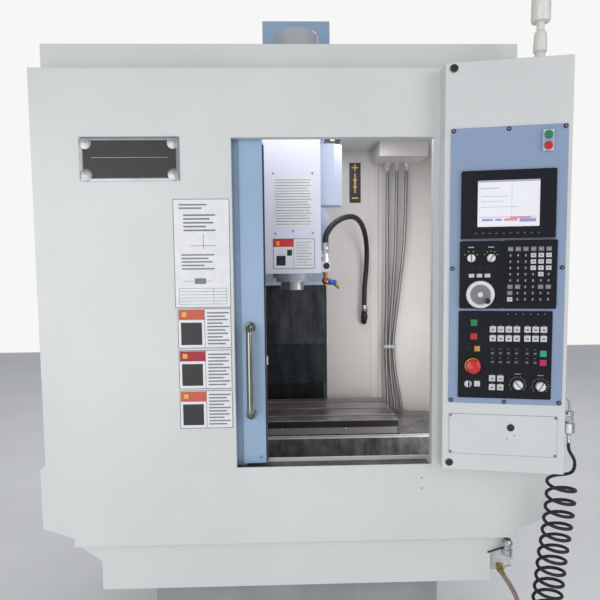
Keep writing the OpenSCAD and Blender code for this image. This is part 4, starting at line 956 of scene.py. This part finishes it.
def operator_keys():
    """Keys, marks, stop button's ring, knob scales, pilot lights and key switch of the operator panel."""
    small, plain_key, large = (0.0156, 0.0156), (0.0176, 0.0176), (0.0186, 0.0186)
    rise = 0.0022
    top = PANEL + rise
    columns = (139, 161, 183, 205, 234, 256, 278)
    white = [(u * MM, v * MM) for u in columns for v in (422, 396)]
    dark = [(u * MM, v * MM) for u in columns[:-1] for v in (353, 327)]
    four = [(u * MM, v * MM) for u in (139, 162) for v in (279, 253)]
    on_panel(
        keys("mode_keys", white, plain_key, PANEL, white_cap, rise),
        keys("dim_keys", dark, plain_key, PANEL, dark_cap, rise),
        keys("coolant_keys", four, plain_key, PANEL, white_cap, rise),
        keys("run_key", [(0.278, 0.353)], plain_key, PANEL, teal_cap, rise),
        keys("halt_key", [(0.278, 0.327)], plain_key, PANEL, pink_cap, rise),
        keys("cycle_start", [(0.086, 0.441)], large, PANEL, green_cap, 0.003),
        keys("feed_hold", [(0.086, 0.401)], large, PANEL, red_cap, 0.003),
        keys("lamp_key", [(0.096, 0.365)], small, PANEL, amber_cap, rise),
        keys("door_key", [(0.072, 0.365)], small, PANEL, dark_cap, rise),
        keys("release_key", [(0.097, 0.262)], (0.0166, 0.0166), PANEL, white_cap, rise),
        legends("mode_marks", [(u, v - 0.001) for u, v in white + four], (0.008, 0.005), top, ink_grey),
        legends("mode_titles", [(u, v + 0.0115) for u, v in white + dark + four], (0.007, 0.0014), PANEL,
                ink_grey),
        legends("dim_marks", dark, (0.007, 0.004), top, ink_grey),
        turned("stop_ring", [(0.0225, 0), (0.0225, 0.0008), (0.0135, 0.0012), (0.0130, 0.0005)], yellow_ring,
               (0.084, 0.315, 0.011), 56))
    scales = []
    for u, v in (FEED_KNOB, SPINDLE_KNOB):
        for k in range(15):
            scales.append(tick(0.0200, 0.0232 if k % 2 else 0.0248, 0.001, PANEL, (u, v), k * 260 / 14 - 40))
        scales.append(block("title", span(u, 0.016), (v + 0.030, v + 0.0316), (PANEL, PANEL + INK),
                            ink_white))
    on_panel(join("knob_scales", scales))
    lights = [(u * MM, 0.466) for u in (180, 202, 222, 242, 262, 280)]
    on_panel(legends("pilot_lights", lights, (0.0022, 0.0022), PANEL, ink_white))
    lock = turned("key_lock", [(0.0112, 0), (0.0112, 0.0086), (0.0100, 0.0096), (0.003, 0.0098)],
                  bright_steel, (0.071, 0.262, PANEL), 36)
    blade = block("key_blade", span(0.071, 0.0034), span(0.262, 0.017), (PANEL + 0.009, PANEL + 0.0268),
                  bright_steel, 0.0008)
    on_panel(join("key_lock", [lock, blade]))


def knob_caps():
    """Pale caps with a pointer line over the feed, spindle, axis and step knobs."""
    gap = 0.0003
    for name, body, place, w, high, wide, degrees in (
            ("feed_cap", "feed_knob", FEED_KNOB, PANEL, 0.015, 0.0131, 40),
            ("spindle_cap", "spindle_knob", SPINDLE_KNOB, PANEL, 0.015, 0.0131, -30),
            ("axis_cap", "axis_knob", AXIS_KNOB, UNIT, 0.013, 0.0116, 0),
            ("step_cap", "step_knob", STEP_KNOB, UNIT, 0.013, 0.0116, -30)):
        top = high + 0.0016
        cap = turned(name, [(wide, 0.0002), (wide, high - 0.003), (wide - 0.001, high + 0.0002),
                            (wide - 0.0024, high + 0.0006), (0.003, high + 0.0007)], wheel_white, sides=40)
        rib = block("rib", span(0, 0.0032), (0.002 - wide, wide - 0.001), (high, top), grey_cap, 0.0006)
        line = block("line", span(0, 0.001), (0.002, wide - 0.0012), (top, top + 0.0002), ink_and_shade_black)
        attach(seat(join(name, [cap, rib, line]), FACE @ shift(*place, w + gap) @ turn(degrees)), body)


def box_plugs():
    """Plugs, small holes and screws of the box, its plate's screws, and the start and stop buttons' lips."""
    low = 0.0015
    plugs = []
    for u, v, w, r in ((0.023, 1.163, 0.002, 0.0112), (0.021, 0.021, 0.002, 0.0106),
                       (0.194, 0.133, PLATE, 0.0106)):
        plugs.append(turned("plug", [(r, 0), (r, 0.0008), (r - 0.001, 0.0014), (r - 0.004, 0.0016),
                                     (r - 0.0045, 0.0010), (0.002, 0.0009)], ink_and_shade_black, (u, v, w), 32))
    for u, v in ((0.185, 0.100), (0.205, 0.110)):
        plugs.append(turned("hole", [(0.0019, 0), (0.0015, 0.0002)], ink_and_shade_black, (u, v, low), 14))
    for u in (0.024, 0.318):
        for v in (0.054, 0.165):
            plugs.append(turned("screw", [(0.0044, 0), (0.0044, 0.001), (0.0034, 0.0018), (0.0019, 0.0018),
                                          (0.0018, 0.0012)], turned_iron, (u, v, low), 20))
    on_panel(join("box_plugs", plugs))
    profile = [(0.0062, 0), (0.0062, 0.002), (0.0052, 0.0036), (0.0026, 0.0037), (0.0024, 0.0028)]
    places = [(u, v) for u in (0.024, 0.324) for v in (0.211, 0.598, 0.988)]
    places += [(0.174, 0.209), (0.174, 0.988)]
    screws = [turned("screw", profile, ink_and_shade_black, (u, v, PLATE), 24) for u, v in places]
    on_panel(join("plate_screws", screws))
    lip = [(0.0108, 0.0074), (0.0108, 0.0078), (0.0086, 0.0082), (0.002, 0.0083)]
    for name, body, v, skin in (("button_lip", "start_button", 0.966, green_cap),
                                ("stop_lip", "stop_button", 0.936, red_cap)):
        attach(seat(turned(name, lip, skin, (0.2785, v, 0.0055), 32), FACE), body)


def button_frame():
    """White moulded frame round the start and stop buttons."""
    ring = block("button_frame", (0.2625, 0.2945), (0.9205, 0.9815), (PLATE, 0.0102), white_cap, 0.0030, 3)
    pill = block("opening", (0.2668, 0.2902), (0.9245, 0.9775), (-0.012, 0.026), white_cap, 0.0095, 6)
    cut_out(ring, pill)
    on_panel(ring)


key_unit()
wheel_unit()
wheel_face()
display()
operator_keys()
knob_caps()
box_plugs()
button_frame()


# Fittings

def coolant_block():
    """Manifold on the head's flank with its hose end, pipe, ball valve and nozzle."""
    x, y = HEAD_FEED
    pipe_x, ball_z = 0.126, 1.427
    parts = [
        block("manifold", (0.106, 0.144), (-0.436, -0.380), (1.461, 1.501), wall_enamel, 0.002),
        turned("hex", [(0.0112, 0), (0.0112, 0.016), (0.0096, 0.018), (0.0096, 0.030)], bright_steel,
               (x, y, 1.501), 6, 10),
        turned("ferrule", [(0.0106, 0), (0.0112, 0.001), (0.0112, 0.012), (0.0103, 0.014), (0.0103, 0.018),
                           (0.0112, 0.020), (0.0112, 0.032), (0.0103, 0.034), (0.0103, 0.041)],
               bright_steel, (x, y, 1.531), 32),
        block("strap", (0.106, 0.127), (-0.426, -0.380), (1.507, 1.523), bright_steel, 0.001),
        turned("pipe", [(0.007, 0), (0.007, 0.040), (0.0084, 0.042), (0.0084, 0.052)], copper,
               (pipe_x, y, 1.409), 28)]
    port = turned("port", [(0.0125, 0), (0.0125, 0.0006), (0.0105, 0.0010), (0.0100, 0.0002)], ink_and_shade_black,
                  (0.129, 1.484, 0), 28)
    parts.append(seat(port, upright(-0.436)))
    clear()
    bpy.ops.mesh.primitive_uv_sphere_add(segments=28, ring_count=14, radius=0.014,
                                         location=(pipe_x, y, ball_z))
    ball = bpy.context.object
    settle()
    bpy.ops.object.shade_smooth()
    parts.append(paint(ball, copper))
    aim = shift(pipe_x, y, ball_z) @ turn(100, "Y")
    valve = turned("body", [(0.009, 0.004), (0.0096, 0.010), (0.0120, 0.014), (0.0120, 0.026),
                            (0.0090, 0.030), (0.011, 0.034), (0.0104, 0.040), (0.006, 0.043)],
                   valve_blue, sides=32)
    parts.append(seat(valve, aim))
    nozzle = turned("nozzle", [(0.0088, 0.0), (0.0080, 0.010), (0.0060, 0.020), (0.0045, 0.030)], brass,
                    sides=28)
    parts.append(seat(nozzle, aim @ shift(0, 0, 0.034) @ turn(40, "Y")))
    piece = join("coolant_manifold", parts)
    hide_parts("coolant_block")
    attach(piece, "head")


def air_valve():
    """Air valve beside the box: bracket, body, nut, barb and hook."""
    x, y = AIR_VALVE
    hook = smooth_line([(x, y, 1.046), (x, y, 1.062), (x - 0.003, y, 1.078), (x - 0.010, y, 1.089)], 6)
    return [
        block("bracket", (0.7681, x), span(y, 0.020), (1.018, 1.038), bright_steel, 0.0015),
        turned("air_body", [(0.0112, 0), (0.0120, 0.002), (0.0120, 0.014), (0.0100, 0.016), (0.0100, 0.020),
                            (0.0120, 0.022), (0.0120, 0.034), (0.0100, 0.036)], bright_steel,
               (x, y, 1.012), 36),
        turned("air_nut", [(0.0150, 0), (0.0162, 0.002), (0.0162, 0.029), (0.0150, 0.031)], bright_steel,
               (x, y, 0.981), 6, 10),
        turned("air_barb", [(0.0044, 0), (0.0060, 0.004), (0.0046, 0.012), (0.0060, 0.014), (0.0046, 0.022),
                            (0.0062, 0.024), (0.0062, 0.031)], bright_steel, (x, y, 0.950), 24),
        tube("air_hook", hook, 0.0032, bright_steel)]


def wall_elbow():
    """Elbow by which the coolant hose goes into the wall, with its boss, nut and swage."""
    x, y = WALL_FEED
    bend = smooth_line([(x, y, 1.271), (x, y, 1.238), (x, y + 0.004, 1.225), (x, y + 0.013, 1.2215),
                        (x, WALL_Y, 1.222)], 6)
    return [
        tube("wall_elbow", bend, 0.0128, black_cap, 24),
        turned("elbow_boss", [(0.0150, 0), (0.0155, 0.003), (0.0155, 0.016), (0.0140, 0.018)], black_cap,
               (x, y, 1.236), 32),
        turned("swage_nut", [(0.0160, 0), (0.0170, 0.002), (0.0170, 0.012), (0.0160, 0.013)], bright_steel,
               (x, y, 1.271), 6, 10),
        turned("swage", [(0.0130, 0), (0.0130, 0.005), (0.0122, 0.006), (0.0122, 0.009), (0.0130, 0.010),
                         (0.0130, 0.016)], bright_steel, (x, y, 1.284), 32)]


def drain_valve():
    """Drain valve at the corner: body, clear bowl, stub, lever, nozzle and its stub."""
    x, y = 0.661, -0.900
    parts = [
        turned("valve_body", [(0.0120, 0), (0.0170, 0.003), (0.0170, 0.018), (0.0130, 0.021),
                              (0.0130, 0.030), (0.0170, 0.033), (0.0170, 0.041), (0.0120, 0.049)],
               bright_steel, (x, y, 0.568), 36),
        turned("valve_bowl", [(0.0100, 0), (0.0140, 0.003), (0.0168, 0.012), (0.0168, 0.034),
                              (0.0150, 0.036)], bowl, (x, y, 0.532), 36),
        block("stub", span(x, 0.008), (-0.895, -0.854), (0.562, 0.570), bright_steel, 0.001)]
    lever = block("lever", (0.0, 0.058), span(0, 0.006), (0, 0.004), black_cap, 0.0012)
    parts.append(seat(lever, shift(0.599, y, 0.574) @ turn(-17, "Y")))
    nozzle = turned("nozzle", [(0.0080, -0.022), (0.0084, -0.020), (0.0080, -0.010), (0.0112, -0.008),
                               (0.0112, 0.001), (0.0100, 0.002)], brass, sides=28)
    parts.append(seat(nozzle, shift(0.649, -0.872, 0.508) @ turn(-30, "Y")))
    parts.append(block("nozzle_stub", (0.643, 0.657), (-0.876, -0.854), (0.506, 0.518), brass, 0.001))
    return parts


def fittings():
    """Air valve, wall elbow and drain valve in one piece, as their solids are."""
    piece = join("pipe_fittings", air_valve() + wall_elbow() + drain_valve())
    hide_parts("hose_fittings")
    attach(piece, "frame")


def conduits():
    """Three wound metal hoses down the wall, held by one tie, each in a gland at its top."""
    # Places along the hoses, in millimetres
    away = 60
    heights = (1917, 1600, 1350, 1200, 1105, 980, 810)
    bend = ((64, 730), (75, 704), (85, 694), (93, 694), (99.7, 694))
    runs = ((448, 448, 447, 444, 443, 446, 453), (491, 488, 474, 464, 460, 466, 485),
            (536, 528, 502, 484, 477, 488, 517))
    pieces = []
    for run in runs:
        points = [(x, away, z) for x, z in zip(run, heights)] + [(run[-1], y, z) for y, z in bend]
        pieces.append(tube("conduit", smooth_line(metres(points), 6), 0.008, wound_hose, 20))
    tie = block("tie", (0.430, 0.490), (0.049, 0.071), (1.096, 1.114), ink_white, 0.004, 3)
    gap = block("gap", (0.4325, 0.4875), (0.0515, 0.0685), (1.09, 1.12), bright_steel, 0.003, 2)
    cut_out(tie, gap)
    foot = block("foot", (0.456, 0.464), (0.071, WALL_Y), (1.098, 1.112), bright_steel, 0.001)
    piece = join("wall_conduits", pieces + [tie, foot])
    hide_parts("conduits")
    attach(piece, "frame")
    profile = [(0.0092, 0), (0.0092, 0.012), (0.0118, 0.015), (0.0124, 0.017), (0.0124, 0.030),
               (0.0118, 0.034)]
    glands = [turned("gland", profile, bright_steel, (run[0] * MM, away * MM, heights[0] * MM), 6, 10)
              for run in runs]
    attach(join("conduit_glands", glands), "frame")


def signal_lamp():
    """Signal lamp on the box: swivel foot, stem and three plain lenses under a cap."""
    at = (0.694, -0.984, 2.053)
    parts = [turned("foot", [(0.0186, 0), (0.0186, 0.003), (0.0150, 0.012), (0.0136, 0.022), (0.0178, 0.024),
                             (0.0184, 0.030), (0.0184, 0.058), (0.0168, 0.076), (0.0112, 0.081),
                             (0.0109, 0.103), (0.0240, 0.105), (0.0268, 0.110), (0.0268, 0.172)],
                    lamp_ivory, at)]
    for low, skin in ((0.172, lens_green), (0.216, lens_amber), (0.260, lens_red)):
        rings = [(0.0268, low), (0.0288, low + 0.002)]
        for k in range(9):
            h = low + 0.004 + k * 0.0041
            rings += [(0.0288, h), (0.0280, h + 0.0014), (0.0288, h + 0.0028)]
        rings += [(0.0268, low + 0.0425), (0.0268, low + 0.044)]
        parts.append(turned("lens", rings, skin, at, angle=60))
    parts.append(turned("cap", [(0.0268, 0.304), (0.0262, 0.3055), (0.0215, 0.309), (0.002, 0.311)],
                        lamp_ivory, at))
    piece = join("signal_light", parts)
    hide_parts("signal_lamp")
    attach(piece, "frame")


def sill():
    """Bright bottom track of the door and its worn steel strip."""
    ends = (-0.186, 0.418)
    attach(join("sill_track", [
        block("sill_strip", ends, (-0.8968, -0.8302), (0.8590, 0.8597), track_steel, 0.0002, 1),
        block("sill_lip", ends, (-0.8312, -0.8262), (0.8585, 0.8722), rubbed_and_highlight_edge, 0.001),
        block("sill_edge", ends, (-0.8975, -0.8960), (0.8590, 0.8658), track_steel, 0.0003, 1)]), "frame")


def door_trim():
    """Rubber strip on the closing edge, latch plate and small screws of the door."""
    parts = [
        block("door_seal", (-0.0962, -0.0905), (-0.8625, -0.8415), (0.872, 1.850), rubber_black, 0.002),
        block("latch", (-0.1000, -0.0862), (-0.8605, -0.8495), (1.178, 1.206), bright_steel, 0.0015)]
    for z in (0.888, 1.870):
        screw = turned("screw", [(0.0045, 0), (0.0045, 0.0012), (0.0032, 0.0022)], turned_iron,
                       (-0.112, z, 0), 18)
        parts.append(seat(screw, upright(DOOR_Y)))
    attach(join("door_trim", parts), "door")


def table_trim():
    """Strip and screws on the table's front under a black band of painted shade, and painted highlights and
    painted shade along the edges of its T slots and its front edge.
    """
    slots = (-0.325, -0.200, -0.075)
    low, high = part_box("table")
    front, top, foot = low[1], high[2], 0.8215
    ends = (low[0] + 0.001, high[0] - 0.001)
    parts = [
        block("table_strip", ends, (front - 0.0007, front + 0.001), (foot, foot + 0.026), strip_steel,
              0.0003, 1),
        # Painted shade: black band over the upper part of the table's front
        block("table_shade_band", ends, (front - 0.0004, front + 0.001), (foot + 0.027, top - 0.002), ink_and_shade_black,
              0.0002, 1)]
    for x in (low[0] + 0.19, high[0] - 0.21):
        screw = turned("screw", [(0.0042, 0), (0.0042, 0.0008), (0.0030, 0.0014), (0.0022, 0.0006)],
                       bright_steel, (x, foot + 0.022, 0), 18)
        parts.append(seat(screw, upright(front - 0.0007)))
    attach(join("table_strip", parts), "table")
    # Bright strips are painted highlights on the rims of the slots and the front edge; the black strips
    # beside the slots are painted shade
    bright, shaded = (top - 0.0004, top + 0.0003), (top - 0.0004, top + 0.0002)
    edges = []
    for y in slots:
        edges += [block("slot_highlight", ends, (y + 0.0061, y + 0.0079), bright, rubbed_and_highlight_edge, 0.0002, 1),
                  block("slot_shade", ends, (y - 0.0100, y - 0.0065), shaded, ink_and_shade_black, 0.0002, 1)]
    edges.append(block("front_highlight", ends, (front, front + 0.0016), bright, rubbed_and_highlight_edge, 0.0002, 1))
    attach(join("slot_highlights_and_shade", edges), "table")


def apron_highlight():
    """Bright hem on the upper edge of the saddle's front way cover, painted as highlight strips."""
    ends = (-0.6395, 0.6395)
    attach(join("apron_highlight", [
        # Painted highlight: bright strips on the hem's front and back edges
        block("apron_highlight", ends, (-0.4157, -0.4121), (0.8085, 0.8145), rubbed_and_highlight_edge, 0.0004, 1),
        block("apron_flat", ends, (-0.4125, -0.4040), (0.8135, 0.8150), track_steel, 0.0002, 1),
        block("apron_back_highlight", ends, (-0.4052, -0.4032), (0.8135, 0.8180), rubbed_and_highlight_edge, 0.0003, 1)]), "saddle")


def wall_seams():
    """Folded seams of the work area's back wall."""
    height = (0.72, 1.996)
    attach(join("wall_seams", [
        block("wide_seam", (0.375, 0.396), (WALL_Y - 0.0022, WALL_Y), height, wall_enamel, 0.0008),
        block("thin_seam", (0.4120, 0.4145), (WALL_Y - 0.0012, WALL_Y), height, strip_steel, 0.0004, 1)]),
        "frame")


def panel_pins():
    """Two small pins of the front panel beside the sill."""
    pins = [turned("pin", [(0.0022, 0), (0.0016, 0.0006)], ink_and_shade_black, (0.388, z, 0), 14)
            for z in (0.823, 0.789)]
    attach(seat(join("panel_pins", pins), upright(PANEL_Y)), "frame")


coolant_block()
fittings()
conduits()
signal_lamp()
sill()
door_trim()
table_trim()
apron_highlight()
wall_seams()
panel_pins()


# Studio

def sky():
    """Soft light from all round, and a pale background for the camera and clear panes to see."""
    world = bpy.data.worlds.new("studio")
    bpy.context.scene.world = world
    world.use_nodes = True
    nodes, links = world.node_tree.nodes, world.node_tree.links
    nodes.clear()
    out = nodes.new("ShaderNodeOutputWorld")
    path = nodes.new("ShaderNodeLightPath")
    seen = nodes.new("ShaderNodeMath")
    seen.operation = "MAXIMUM"
    links.new(path.outputs["Is Camera Ray"], seen.inputs[0])
    links.new(path.outputs["Is Transmission Ray"], seen.inputs[1])
    mix = nodes.new("ShaderNodeMixShader")
    links.new(seen.outputs[0], mix.inputs["Fac"])
    links.new(mix.outputs[0], out.inputs["Surface"])
    for place, colour, strength in ((1, (0.93, 0.95, 1.0, 1), 0.46), (2, (0.93, 0.93, 0.93, 1), 1.0)):
        light = nodes.new("ShaderNodeBackground")
        light.inputs["Color"].default_value = colour
        light.inputs["Strength"].default_value = strength
        links.new(light.outputs[0], mix.inputs[place])


def studio_floor():
    """Plain pale floor."""
    clear()
    bpy.ops.mesh.primitive_plane_add(size=16, location=(0, 0, 0))
    floor = bpy.context.object
    floor.name = "floor"
    finish = Finish("studio_floor", srgb(236, 237, 239), 0.85)
    finish.tint(finish.ramp(finish.noise(1.2, 3), 0.3, 0.7, srgb(230, 231, 233), srgb(238, 239, 241)))
    paint(floor, finish.skin)


def lights():
    """Four studio lamps round the machine, two in the roof of its work area and one at its right."""
    for name, place, aim, size, power in (
            ("key_light", (-2.0, -4.8, 1.4), (0, -0.6, 0.9), (3.0, 3.0), 82),
            ("fill_light", (2.8, -3.8, 2.0), (0.2, -0.5, 0.9), (2.8, 2.8), 42),
            ("back_light", (0.5, 3.4, 4.2), (0, 0.4, 1.4), (2.6, 2.6), 60),
            ("top_light", (0, -0.6, 5.2), (0, -0.4, 0), (2.4, 2.4), 6),
            ("work_light", (0.10, -0.66, 2.008), (0.10, -0.60, 0), (0.7, 0.3), 1.9),
            ("wall_light", (0.27, -0.32, 2.004), (0.27, -0.25, 0), (0.16, 0.24), 1.4),
            ("side_light", (0.64, -0.62, 1.16), (0.20, -0.16, 1.10), (0.3, 0.8), 3.2)):
        lamp = bpy.data.lights.new(name, "AREA")
        lamp.shape = "RECTANGLE"
        lamp.size, lamp.size_y = size
        lamp.energy = power
        item = into_scene(name, lamp)
        item.location = place
        item.rotation_euler = (Vector(aim) - Vector(place)).to_track_quat("-Z", "Y").to_euler()


sky()
studio_floor()
lights()
bpy.context.scene.view_settings.view_transform = "Standard"

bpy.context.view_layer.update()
